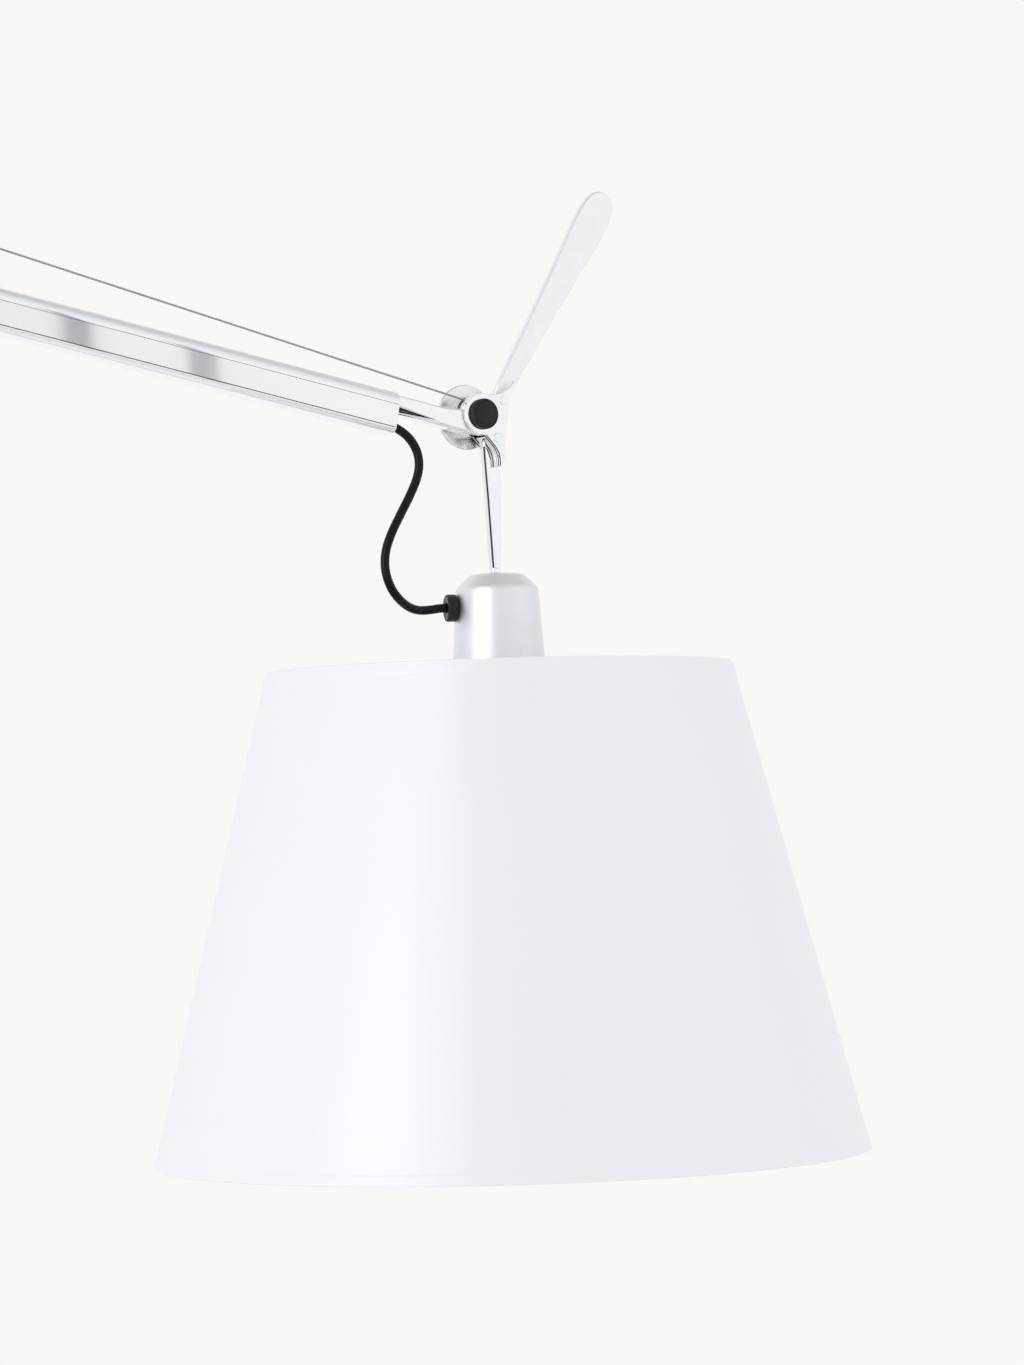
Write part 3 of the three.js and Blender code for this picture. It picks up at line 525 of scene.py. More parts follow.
@dataclass(frozen=True)
class Effect:
    """A shader node group that several finishes use."""

    name: str
    inputs: tuple[tuple[str, str, float], ...]
    outputs: tuple[str, ...]

    def tree(self) -> bpy.types.NodeTree:
        """The group, built the first time it is asked for."""
        found = bpy.data.node_groups.get(self.name)
        if found:
            return found
        tree = bpy.data.node_groups.new(self.name, "ShaderNodeTree")
        tree.interface.new_socket(name="Vector", in_out="INPUT", socket_type="NodeSocketVector")
        for name, kind, value in self.inputs:
            socket = tree.interface.new_socket(name=name, in_out="INPUT", socket_type=kind)
            socket.default_value = value
        for name in self.outputs:
            tree.interface.new_socket(name=name, in_out="OUTPUT", socket_type="NodeSocketFloat")
        graph = Graph(tree)
        source = tree.nodes.new("NodeGroupInput")
        results = self.build(graph, source.outputs)
        graph.add("NodeGroupOutput", dict(zip(self.outputs, results)))
        return tree

    def build(self, graph: Graph, given: bpy.types.NodeOutputs) -> tuple:
        """Makes the group's nodes. Each effect has its own."""
        raise NotImplementedError

    def place(self, graph: Graph, vector: bpy.types.NodeSocket, **values: float) -> bpy.types.Node:
        """Puts the group into a material with its own values."""
        node = graph.add("ShaderNodeGroup", node_tree=self.tree())
        graph.tree.links.new(vector, node.inputs["Vector"])
        for name, value in values.items():
            node.inputs[name.replace("_", " ")].default_value = value
        return node


class GrainLines(Effect):
    """Fine lines drawn out along the surface, as brushing or turning leaves."""

    def build(self, graph: Graph, given: bpy.types.NodeOutputs) -> tuple:
        """Stretched noise: the vector times (along, across, across)."""
        stretch = graph.add("ShaderNodeCombineXYZ", {0: given["Along"], 1: given["Across"],
                                                     2: given["Across"]})
        drawn = graph.add("ShaderNodeVectorMath", {0: given["Vector"], 1: stretch.outputs[0]},
                          operation="MULTIPLY")
        lines = graph.add("ShaderNodeTexNoise", {"Vector": drawn.outputs[0], "Scale": 1.0,
                                                 "Detail": 3.0, "Roughness": 0.6})
        shade = graph.span(lines.outputs[0], 0.3, 0.7, 0.0, 1.0)
        return graph.maths("MULTIPLY", shade, given["Depth"]), shade


class SoftVariation(Effect):
    """Slow changes over a surface, from handling and uneven polishing."""

    def build(self, graph: Graph, given: bpy.types.NodeOutputs) -> tuple:
        """Noise at the given scale, mapped from low to high."""
        cloud = graph.add("ShaderNodeTexNoise", {"Vector": given["Vector"], "Scale": given["Scale"],
                                                 "Detail": 4.0, "Roughness": 0.55})
        level = graph.add("ShaderNodeMapRange", {"Value": cloud.outputs[0], "From Min": 0.32,
                                                 "From Max": 0.68, "To Min": given["Low"],
                                                 "To Max": given["High"]})
        return (level.outputs[0],)


class FineSpeckle(Effect):
    """The small grain of a moulded, cast or anodised skin."""

    def build(self, graph: Graph, given: bpy.types.NodeOutputs) -> tuple:
        """Cells and noise together, scaled by the depth."""
        cells = graph.add("ShaderNodeTexVoronoi", {"Vector": given["Vector"], "Scale": given["Scale"]})
        grit = graph.add("ShaderNodeTexNoise", {"Vector": given["Vector"], "Scale": given["Scale"],
                                                "Detail": 3.0})
        height = graph.maths("ADD", cells.outputs[0], grit.outputs[0])
        return graph.maths("MULTIPLY", height, given["Depth"]), graph.span(height, 0.6, 1.4, 0.0, 1.0)


class SatinWeave(Effect):
    """Long warp threads down a cloth, crossed by a finer weft, with slubs in the thread."""

    def build(self, graph: Graph, given: bpy.types.NodeOutputs) -> tuple:
        """Warp is the sine of v, weft the sine of u, and slubs are noise drawn out along u."""
        parts = graph.add("ShaderNodeSeparateXYZ", {0: given["Vector"]})
        turn = 2 * math.pi
        warp = graph.maths("SINE", graph.maths("MULTIPLY", graph.maths(
            "MULTIPLY", parts.outputs[1], given["Warp"]), turn))
        weft = graph.maths("SINE", graph.maths("MULTIPLY", graph.maths(
            "MULTIPLY", parts.outputs[0], given["Weft"]), turn))
        threads = graph.maths("ADD", graph.maths("MULTIPLY", warp, 0.38),
                              graph.maths("MULTIPLY", weft, 0.12))
        drawn = graph.add("ShaderNodeVectorMath", {0: given["Vector"], 1: (14.0, 900.0, 1.0)},
                          operation="MULTIPLY")
        slub = graph.add("ShaderNodeTexNoise", {"Vector": drawn.outputs[0], "Scale": 1.0,
                                                "Detail": 4.0, "Roughness": 0.65})
        soft = graph.span(slub.outputs[0], 0.3, 0.7, 0.0, 1.0)
        height = graph.maths("ADD", graph.maths("ADD", threads, 0.5), graph.maths("MULTIPLY", soft, 0.5))
        return height, soft


FLOAT = "NodeSocketFloat"
GRAIN = GrainLines("grain_lines", (("Along", FLOAT, 20.0), ("Across", FLOAT, 4000.0),
                                   ("Depth", FLOAT, 1.0)), ("Height", "Shade"))
VARIATION = SoftVariation("soft_variation", (("Scale", FLOAT, 30.0), ("Low", FLOAT, 0.2),
                                             ("High", FLOAT, 0.3)), ("Level",))
SPECKLE = FineSpeckle("fine_speckle", (("Scale", FLOAT, 2000.0), ("Depth", FLOAT, 1.0)),
                      ("Height", "Shade"))
WEAVE = SatinWeave("satin_weave", (("Warp", FLOAT, 2400.0), ("Weft", FLOAT, 1500.0)),
                   ("Height", "Slub"))


# ---------------------------------------------------------------- finishes
class Coordinates(Enum):
    """What a pattern is laid on."""

    SURFACE = "the piece's own UV, in metres"
    SPACE = "object coordinates, in metres"


@dataclass(frozen=True)
class Finish:
    """What every finish has: a name, a base colour and its darker tone."""

    name: str
    colour: Colour
    deep: Colour

    def material(self) -> bpy.types.Material:
        """The material, built the first time it is asked for."""
        found = bpy.data.materials.get(self.name)
        if found:
            return found
        material = bpy.data.materials.new(self.name)
        material.use_nodes = True
        tree = material.node_tree
        tree.nodes.clear()
        graph = Graph(tree)
        shader = graph.add("ShaderNodeBsdfPrincipled")
        graph.add("ShaderNodeOutputMaterial", {0: shader.outputs[0]})
        self.dress(graph, shader)
        material.diffuse_color = (*self.colour, 1.0)
        return material

    def dress(self, graph: Graph, shader: bpy.types.Node) -> None:
        """Links the pattern to the shader. Each kind of finish has its own."""
        raise NotImplementedError

    def vector(self, graph: Graph, coordinates: Coordinates) -> bpy.types.NodeSocket:
        """The socket that patterns read."""
        if coordinates is Coordinates.SURFACE:
            return graph.add("ShaderNodeUVMap", uv_map=SURFACE_UV).outputs[0]
        return graph.add("ShaderNodeTexCoord").outputs["Object"]

    def tone(self, graph: Graph, share: object) -> bpy.types.NodeSocket:
        """The colour, mixed towards its deeper tone."""
        mix = graph.add("ShaderNodeMix", data_type="RGBA")
        graph.tree.links.new(share, mix.inputs["Factor"])
        mix.inputs["A"].default_value = (*self.colour, 1.0)
        mix.inputs["B"].default_value = (*self.deep, 1.0)
        return mix.outputs["Result"]

    def relief(self, graph: Graph, height: object, depth: float) -> bpy.types.NodeSocket:
        """A bump whose full height is depth metres."""
        return graph.add("ShaderNodeBump", {"Strength": 1.0, "Distance": depth,
                                            "Height": height}).outputs[0]


@dataclass(frozen=True)
class MetalFinish(Finish):
    """Bare or anodised metal with a drawn grain."""

    smooth: float = 0.1
    rough: float = 0.16
    along: float = 20.0
    across: float = 4000.0
    depth: float = 2e-6
    patches: float = 35.0
    coordinates: Coordinates = Coordinates.SURFACE

    def dress(self, graph: Graph, shader: bpy.types.Node) -> None:
        """Grain drives tone and normal, and slow variation drives roughness."""
        vector = self.vector(graph, self.coordinates)
        grain = GRAIN.place(graph, vector, Along=self.along, Across=self.across, Depth=1.0)
        space = self.vector(graph, Coordinates.SPACE)
        level = VARIATION.place(graph, space, Scale=self.patches, Low=self.smooth, High=self.rough)
        worn = VARIATION.place(graph, space, Scale=self.patches * 4, Low=0.0, High=0.35)
        share = graph.maths("MULTIPLY", grain.outputs["Shade"], worn.outputs[0])
        links = graph.tree.links
        links.new(self.tone(graph, share), shader.inputs["Base Color"])
        links.new(level.outputs[0], shader.inputs["Roughness"])
        links.new(self.relief(graph, grain.outputs["Height"], self.depth), shader.inputs["Normal"])
        shader.inputs["Metallic"].default_value = 1.0


@dataclass(frozen=True)
class MouldedFinish(Finish):
    """Plastic or rubber with a fine moulded grain."""

    smooth: float = 0.3
    rough: float = 0.4
    grain: float = 2500.0
    depth: float = 1e-5
    shine: float = 0.5

    def dress(self, graph: Graph, shader: bpy.types.Node) -> None:
        """Speckle drives tone and normal, and slow variation drives roughness."""
        space = self.vector(graph, Coordinates.SPACE)
        speckle = SPECKLE.place(graph, space, Scale=self.grain, Depth=1.0)
        level = VARIATION.place(graph, space, Scale=60.0, Low=self.smooth, High=self.rough)
        links = graph.tree.links
        links.new(self.tone(graph, speckle.outputs["Shade"]), shader.inputs["Base Color"])
        links.new(level.outputs[0], shader.inputs["Roughness"])
        links.new(self.relief(graph, speckle.outputs["Height"], self.depth), shader.inputs["Normal"])
        shader.inputs["Specular IOR Level"].default_value = self.shine


@dataclass(frozen=True)
class FloorFinish(MouldedFinish):
    """A matt floor that fades out with distance from the lamp."""

    whole: float = 1.5
    gone: float = 7.0

    def dress(self, graph: Graph, shader: bpy.types.Node) -> None:
        """The moulded pattern, and an alpha that falls with the distance."""
        super().dress(graph, shader)
        away = graph.add("ShaderNodeVectorMath", {0: self.vector(graph, Coordinates.SPACE)},
                         operation="LENGTH").outputs["Value"]
        graph.tree.links.new(graph.span(away, self.whole, self.gone, 1.0, 0.0),
                             shader.inputs["Alpha"])


@dataclass(frozen=True)
class WovenFinish(Finish):
    """Satin cloth on a stiff liner."""

    warp: float = 2400.0
    weft: float = 1500.0
    depth: float = 1.2e-5
    rough: float = 0.45
    shine: float = 0.8

    def dress(self, graph: Graph, shader: bpy.types.Node) -> None:
        """The weave drives normal, tone and roughness."""
        vector = self.vector(graph, Coordinates.SURFACE)
        weave = WEAVE.place(graph, vector, Warp=self.warp, Weft=self.weft)
        cloud = VARIATION.place(graph, vector, Scale=9.0, Low=0.0, High=0.5)
        share = graph.maths("ADD", graph.maths("MULTIPLY", weave.outputs["Slub"], 0.5),
                            graph.maths("MULTIPLY", cloud.outputs[0], 0.5))
        links = graph.tree.links
        links.new(self.tone(graph, share), shader.inputs["Base Color"])
        links.new(graph.span(weave.outputs["Slub"], 0.0, 1.0, self.rough - 0.05, self.rough + 0.05),
                  shader.inputs["Roughness"])
        links.new(self.relief(graph, weave.outputs["Height"], self.depth), shader.inputs["Normal"])
        shader.inputs["Specular IOR Level"].default_value = self.shine


@dataclass(frozen=True)
class GlassFinish(Finish):
    """Opal glass, smooth outside and milky within."""

    def dress(self, graph: Graph, shader: bpy.types.Node) -> None:
        """A faint cloudiness in tone and roughness."""
        space = self.vector(graph, Coordinates.SPACE)
        cloud = VARIATION.place(graph, space, Scale=45.0, Low=0.0, High=1.0)
        level = VARIATION.place(graph, space, Scale=80.0, Low=0.12, High=0.2)
        links = graph.tree.links
        links.new(self.tone(graph, cloud.outputs[0]), shader.inputs["Base Color"])
        links.new(level.outputs[0], shader.inputs["Roughness"])
        shader.inputs["Transmission Weight"].default_value = 0.25
        shader.inputs["Coat Weight"].default_value = 0.6


POLISHED = MetalFinish("polished_casting", (0.93, 0.935, 0.95), (0.72, 0.73, 0.76), smooth=0.05,
                       rough=0.11, along=300.0, across=900.0, depth=4e-7)
ANODISED = MetalFinish("anodised_tube", (0.93, 0.935, 0.95), (0.86, 0.865, 0.885), smooth=0.11,
                       rough=0.15, along=6.0, across=5200.0, depth=4e-7)
SPUN = MetalFinish("spun_aluminium", (0.87, 0.88, 0.895), (0.76, 0.77, 0.79), smooth=0.42,
                   rough=0.48, along=3600.0, across=12.0, depth=2e-6)
TURNED = MetalFinish("turned_aluminium", (0.88, 0.885, 0.895), (0.8, 0.805, 0.82), smooth=0.22,
                     rough=0.27, along=5200.0, across=16.0, depth=1e-6)
SATIN = MetalFinish("satin_casting", (0.955, 0.957, 0.97), (0.82, 0.825, 0.84), smooth=0.34,
                    rough=0.42, along=260.0, across=1800.0, depth=2e-6)
STEEL = MetalFinish("bright_steel", (0.78, 0.79, 0.81), (0.55, 0.56, 0.58), smooth=0.16,
                    rough=0.26, along=1800.0, across=60.0, depth=1e-6)
HIDDEN_STEEL = MetalFinish("spring_steel", (0.62, 0.63, 0.65), (0.4, 0.41, 0.43), smooth=0.25,
                           rough=0.38, along=400.0, across=400.0,
                           coordinates=Coordinates.SPACE)
DARK_STEEL = MetalFinish("oiled_steel", (0.28, 0.29, 0.31), (0.16, 0.165, 0.18), smooth=0.4,
                         rough=0.6, along=300.0, across=300.0, depth=1e-5,
                         coordinates=Coordinates.SPACE)
BRASS = MetalFinish("turned_brass", (0.78, 0.6, 0.3), (0.55, 0.4, 0.18), smooth=0.22, rough=0.36,
                    along=3200.0, across=20.0, depth=2e-6)
STRAND = MetalFinish("stranded_steel", (0.42, 0.425, 0.43), (0.2, 0.2, 0.205), smooth=0.35,
                     rough=0.5, along=1400.0, across=1400.0, depth=6e-5)
BLACK_PLASTIC = MouldedFinish("black_moulding", (0.012, 0.012, 0.014), (0.007, 0.007, 0.008),
                              smooth=0.34, rough=0.42, grain=3200.0, depth=5e-6, shine=0.3)
FLEX_SKIN = MouldedFinish("black_flex_skin", (0.005, 0.005, 0.006), (0.003, 0.003, 0.004),
                          smooth=0.2, rough=0.25, grain=1800.0, depth=3e-6, shine=0.18)
FOOT_RUBBER = MouldedFinish("foot_rubber", (0.05, 0.05, 0.053), (0.03, 0.03, 0.032),
                            smooth=0.7, rough=0.85, grain=900.0, depth=6e-5)
HOLDER_WHITE = MouldedFinish("white_moulding", (0.86, 0.855, 0.83), (0.8, 0.79, 0.76),
                             smooth=0.3, rough=0.42, grain=1600.0, depth=8e-6)
# Near-black finish for thin strips of painted shade and painted reflection: dark edge reflections along
# the tube and leg, and shade in grooves and at edges.
PAINTED_DARK_LINES = MouldedFinish("painted_shade_and_reflection_lines", (0.01, 0.01, 0.012), (0.006, 0.006, 0.007),
                              smooth=0.5, rough=0.6)
SHADE_CLOTH = WovenFinish("shade_satin", (0.9, 0.9, 0.93), (0.875, 0.872, 0.905))
OPAL = GlassFinish("opal_glass", (0.93, 0.93, 0.91), (0.88, 0.88, 0.87))


# ---------------------------------------------------------------- putting pieces on the lamp
class Slot(Enum):
    """The record's material slots, named beside each new piece when it is mounted."""

    POLISHED = "polished_aluminium"
    ANODISED = "anodised_aluminium"
    SATIN = "satin_aluminium"
    STEEL = "steel"
    CABLE = "cable_steel"
    BRASS = "brass"
    PLASTIC = "black_plastic"
    FLEX = "black_flex"
    RUBBER = "foot_rubber"
    HOLDER = "holder_plastic"
    GLASS = "opal_glass"
    CLOTH = "shade_fabric"


def dress(piece: bpy.types.Object, finish: Finish, nodes: Sequence[str]) -> None:
    """Gives a piece its material, and hides the CAD nodes it stands for.

    Args:
        piece: The object.
        finish: Its finish.
        nodes: CAD nodes that it replaces.
    """
    piece.data.materials.append(finish.material())
    if nodes:
        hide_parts(*nodes)
    LOG.info("%s: %d faces, %s", piece.name, len(piece.data.polygons), finish.name)


def mount(piece: bpy.types.Object, body: str, finish: Finish, slot: Slot, *nodes: str) -> None:
    """Dresses a piece and fixes it to a body."""
    dress(piece, finish, nodes)
    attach(piece, body)


def redress(frame: dict, finish: Finish, *nodes: str) -> None:
    """Gives CAD nodes that stay a procedural material in each of their slots.

    Args:
        frame: The loaded frame.
        finish: The finish.
        nodes: The nodes' names.
    """
    for node in nodes:
        for holder in frame["nodes"][node].material_slots:
            holder.material = finish.material()


@dataclass(frozen=True)
class Pivots:
    """The lamp's pivots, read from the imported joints."""

    shoulder: Point
    elbow: Point
    wrist: Point

    @classmethod
    def of(cls, frame: dict) -> "Pivots":
        """Finds each pivot by its joint's name."""
        places = {joint["name"]: tuple(joint["pos_m"]) for joint in frame["joints"]}
        return cls(places["lower_arm_pitch"], places["elbow"], places["head_tilt"])


# ---------------------------------------------------------------- studio
@dataclass
class Studio:
    """The camera, a pale floor, soft light and the dark flags that bright metal reflects."""

    pivots: Pivots
    azimuth: float = 58.0
    pitch: float = 3.24
    distance: float = 2.4
    lens: float = 108.45
    backdrop: Colour = (0.947, 0.939, 0.922)
    surround: float = 0.78
    mirror: float = 1.0
    floor_radius: float = 8.0
    aim_offset: Point = (0.018, 0.0, -0.1506)
    camera_right: float = 0.0059
    camera_drop: float = 0.141
    card_places: tuple[tuple[float, float], ...] = ((637.0, 0.52), (716.0, 0.6))
    card_width: float = 17.0
    card_height: float = 120.0
    card_away: float = 0.15

    def build(self) -> None:
        """Makes everything that isn't the lamp."""
        self.camera()
        self.world()
        self.lights()
        self.flags()
        self.floor()
        bpy.context.scene.view_settings.view_transform = "Standard"

    def camera(self) -> None:
        """A long lens, level with the shade's upper half and pitched a little up."""
        turn, tip = math.radians(self.azimuth), math.radians(self.pitch)
        forward = np.array([math.cos(turn), math.sin(turn), 0.0])
        right = np.array([math.sin(turn), -math.cos(turn), 0.0])
        aim = np.array(self.pivots.wrist) + self.aim_offset
        place = aim - self.distance * forward + self.camera_right * right
        place[2] -= self.camera_drop
        data = bpy.data.cameras.new("studio_camera")
        data.lens, data.sensor_width, data.clip_end = self.lens, 36.0, 60.0
        camera = bpy.data.objects.new("studio_camera", data)
        camera.location = place
        look = Vector((*(forward * math.cos(tip))[:2], math.sin(tip)))
        camera.rotation_euler = look.to_track_quat("-Z", "Y").to_euler()
        bpy.context.scene.collection.objects.link(camera)
        bpy.context.scene.camera = camera

    def world(self) -> None:
        """A pale backdrop to the eye, soft white light on matt surfaces, and a bright room with a
        few dark uprights in mirrors."""
        world = bpy.data.worlds.new("soft_studio")
        world.use_nodes = True
        bpy.context.scene.world = world
        tree = world.node_tree
        tree.nodes.clear()
        graph = Graph(tree)
        ray = graph.add("ShaderNodeTexCoord").outputs["Generated"]
        way = graph.add("ShaderNodeSeparateXYZ", {0: ray})
        heading = graph.maths("ARCTAN2", way.outputs[1], way.outputs[0])
        ramp = graph.add("ShaderNodeValToRGB", {0: graph.span(heading, -math.pi, math.pi, 0.0, 1.0)})
        self.fill(ramp, ((0.0, 0.97), (0.1, 0.97), (0.115, 0.3), (0.131, 0.3), (0.146, 0.86),
                         (0.2, 0.86), (0.278, 0.89), (0.318, 0.875), (0.334, 0.965), (0.42, 0.92),
                         (0.46, 0.84), (0.5, 0.82), (0.53, 0.9), (0.7, 0.97), (0.8, 0.97),
                         (0.86, 0.84), (0.9, 0.86), (1.0, 0.97)))
        raised = graph.add("ShaderNodeValToRGB", {0: way.outputs[2]})
        self.fill(raised, ((0.0, 1.0), (0.35, 1.0), (0.6, 0.93), (0.85, 0.72), (1.0, 0.66)))
        room = graph.add("ShaderNodeVectorMath", {0: ramp.outputs[0], 1: raised.outputs[0]},
                         operation="MULTIPLY")
        path = graph.add("ShaderNodeLightPath")
        soft = graph.add("ShaderNodeBackground", {"Color": (0.985, 0.985, 1.0, 1.0),
                                                  "Strength": self.surround})
        mirror = graph.add("ShaderNodeBackground", {"Color": room.outputs[0],
                                                    "Strength": self.mirror})
        seen = graph.add("ShaderNodeBackground", {"Color": (*self.backdrop, 1.0), "Strength": 1.0})
        glossy = graph.add("ShaderNodeMixShader", {0: path.outputs["Is Glossy Ray"],
                                                   1: soft.outputs[0], 2: mirror.outputs[0]})
        final = graph.add("ShaderNodeMixShader", {0: path.outputs["Is Camera Ray"],
                                                  1: glossy.outputs[0], 2: seen.outputs[0]})
        graph.add("ShaderNodeOutputWorld", {0: final.outputs[0]})

    @staticmethod
    def fill(ramp: bpy.types.Node, stops: Sequence[tuple[float, float]]) -> None:
        """Sets a colour ramp's marks to greys.

        Args:
            ramp: The ramp, with its two first marks.
            stops: Each mark's place and level.
        """
        marks = ramp.color_ramp.elements
        for place, _ in stops[1:-1]:
            marks.new(place)
        for mark, (place, level) in zip(marks, stops):
            mark.position, mark.color = place, (level, level, level * 1.005, 1.0)

    def softbox(self, name: str, heading: float, height: float, away: float,
                size: tuple[float, float], power: float, mirrored: bool = True,
                soft: bool = True) -> None:
        """One area light that faces the head.

        Args:
            name: The light's name.
            heading: Its direction from the head, in degrees from +X.
            height: How far above the head it is, in metres.
            away: Its distance, in metres.
            size: Its width and height, in metres.
            power: Its power, in watts.
            mirrored: Whether shiny surfaces show it.
            soft: Whether it lights matt surfaces.
        """
        data = bpy.data.lights.new(name, "AREA")
        data.shape, data.size, data.size_y, data.energy = "RECTANGLE", *size, power
        lamp = bpy.data.objects.new(name, data)
        aim = Vector(self.pivots.wrist) + Vector((0.02, 0.0, -0.25))
        turn = math.radians(heading)
        lamp.location = aim + Vector((away * math.cos(turn), away * math.sin(turn), height))
        lamp.rotation_euler = (aim - lamp.location).to_track_quat("-Z", "Y").to_euler()
        lamp.visible_glossy, lamp.visible_diffuse = mirrored, soft
        bpy.context.scene.collection.objects.link(lamp)

    def lights(self) -> None:
        """A tall strip at the left, weak fills from both sides, and another from above."""
        front = self.azimuth - 180.0
        self.softbox("left_key", front - 30.0, 0.1, 2.2, (0.7, 2.4), 8.5, mirrored=False)
        self.softbox("left_sheen", front - 40.0, 0.1, 2.2, (0.75, 2.4), 17.0, soft=False)
        self.softbox("left_fill", front - 88.0, 0.0, 3.0, (1.0, 2.4), 11.0, mirrored=False)
        self.softbox("right_fill", front + 85.0, 0.0, 3.0, (1.0, 2.4), 15.0, mirrored=False)
        self.softbox("top_fill", front, 2.6, 1.2, (2.4, 2.4), 4.0, mirrored=False)

    def flags(self) -> None:
        """Two narrow dark cards by the camera's side, which only the arm's flat side mirrors."""
        eye = np.array(bpy.context.scene.camera.location)
        arm = Placement(self.pivots.elbow, turn=UPPER_ANGLE)
        across, high = self.card_width / 2, self.card_height / 2
        for number, (along, tone) in enumerate(self.card_places, 1):
            point = np.array(arm.at((along, -9.0, -2.6)))
            way = unit((eye - point) * (-1, 1, -1))
            heading = math.degrees(math.atan2(way[1], way[0]))
            finish = MouldedFinish(f"studio_card_{number}", (tone, tone, tone * 1.04),
                                   (tone * 0.9, tone * 0.9, tone * 0.93), smooth=0.7, rough=0.8,
                                   shine=0.0)
            sheet = np.array([[-0.5, -across], [0.5, -across], [0.5, across], [-0.5, across]])
            card = prism(f"studio_card_{number}", sheet, edge_stations(-high, high, 0, 0), Along.Z,
                         Placement(tuple(point + way * self.card_away), swing=heading))
            card.data.materials.append(finish.material())
            card.visible_camera = card.visible_diffuse = card.visible_shadow = False
            card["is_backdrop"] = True

    def floor(self) -> None:
        """A wide disc that fades out at its rim."""
        finish = FloorFinish("pale_floor", (0.93, 0.922, 0.905), (0.92, 0.912, 0.895),
                             smooth=0.7, rough=0.8, grain=120.0, shine=0.1)
        floor = turned("studio_floor", [[0, 0], [self.floor_radius * 1000, 0],
                                        [self.floor_radius * 1000, -4], [0, -4]],
                       Along.Z, Placement((0, 0, -0.0005)), rounding=1.0, sides=96)
        floor.data.materials.append(finish.material())
        floor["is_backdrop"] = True


# ---------------------------------------------------------------- base and stem
@dataclass
class WeightedBase:
    """A spun cover over a steel disc, and the upright stem in its socket."""

    foot: float = 2.5
    radius: float = 165.0
    height: float = 24.0
    socket_radius: float = 26.0
    socket_height: float = 46.0
    stem_radius: float = 14.0
    stem_wall: float = 2.0
    stem_top: float = 1400.0
    body: str = "base"

    def build(self, frame: dict) -> None:
        """Makes every visible piece of the base and stem.

        Args:
            frame: The loaded frame.
        """
        place = Placement((0.0, 0.0, 0.0))
        self.cover(place)
        self.stem(place)
        redress(frame, DARK_STEEL, "base_weight", "stem_bolt")
        redress(frame, HIDDEN_STEEL, "stem_plug")

    def cover(self, place: Placement) -> None:
        """The foot pad, the cover with its rounded shoulder, and the cord's bush."""
        r, h, inner = self.radius, self.height, self.height - 2.0
        pad = turned("foot_ring", [[0, 0], [r - 8, 0], [r - 7, 1], [r - 7, self.foot],
                                   [0, self.foot]], Along.Z, place, sides=128)
        mount(pad, self.body, FOOT_RUBBER, Slot.RUBBER, "foot_pad")
        cover = turned("spun_cover", [[6.4, inner], [r - 8, inner], [r - 2, inner - 6], [r - 2, 1],
                                      [r, 1], [r, h - 6.5], [r - 1.9, h - 1.9], [r - 6.5, h],
                                      [6.4, h]], Along.Z, place, rounding=2.2, sides=192)
        mount(cover, self.body, SPUN, Slot.SATIN, "base_cover")
        side = Placement(place.at((-r - 0.3, 0, self.foot + 8.8)), swing=180.0)
        bush = turned("cord_bush", [[3.2, -7], [5, -7], [5, 0], [7.2, 0], [7.2, 3], [3.2, 3]],
                      Along.X, side, rounding=0.6, sides=40)
        mount(bush, self.body, BLACK_PLASTIC, Slot.PLASTIC, "base_cord_inlet")

    def stem(self, place: Placement) -> None:
        """The socket, the tube and the brass bush at its top."""
        foot, r = self.height + 0.3, self.stem_radius
        top = foot + self.socket_height
        socket = turned("stem_socket_turned", [
            [6.4, foot], [self.socket_radius, foot], [self.socket_radius, foot + 4],
            [self.socket_radius - 5, foot + 9], [r + 4, top - 3], [r + 3, top], [r + 0.3, top],
            [r + 0.3, foot + 8], [6.4, foot + 8]], Along.Z, place, rounding=1.4, sides=96)
        mount(socket, self.body, TURNED, Slot.SATIN, "stem_socket")
        tube_piece = turned("stem_upright", [[r - self.stem_wall, foot + 8.3], [r, foot + 8.3],
                                             [r, self.stem_top], [r - self.stem_wall, self.stem_top]],
                            Along.Z, place, rounding=0.4, sides=72)
        mount(tube_piece, self.body, SPUN, Slot.ANODISED, "stem_tube")
        bush = turned("stem_top_bush", [
            [8.4, self.stem_top - 54], [r - 2.3, self.stem_top - 54], [r - 2.3, self.stem_top + 0.3],
            [r + 0.5, self.stem_top + 0.3], [r + 0.5, self.stem_top + 3.3],
            [11.4, self.stem_top + 3.3], [8.4, self.stem_top + 0.3]], Along.Z, place, rounding=0.5)
        mount(bush, self.body, BRASS, Slot.BRASS, "stem_bush")


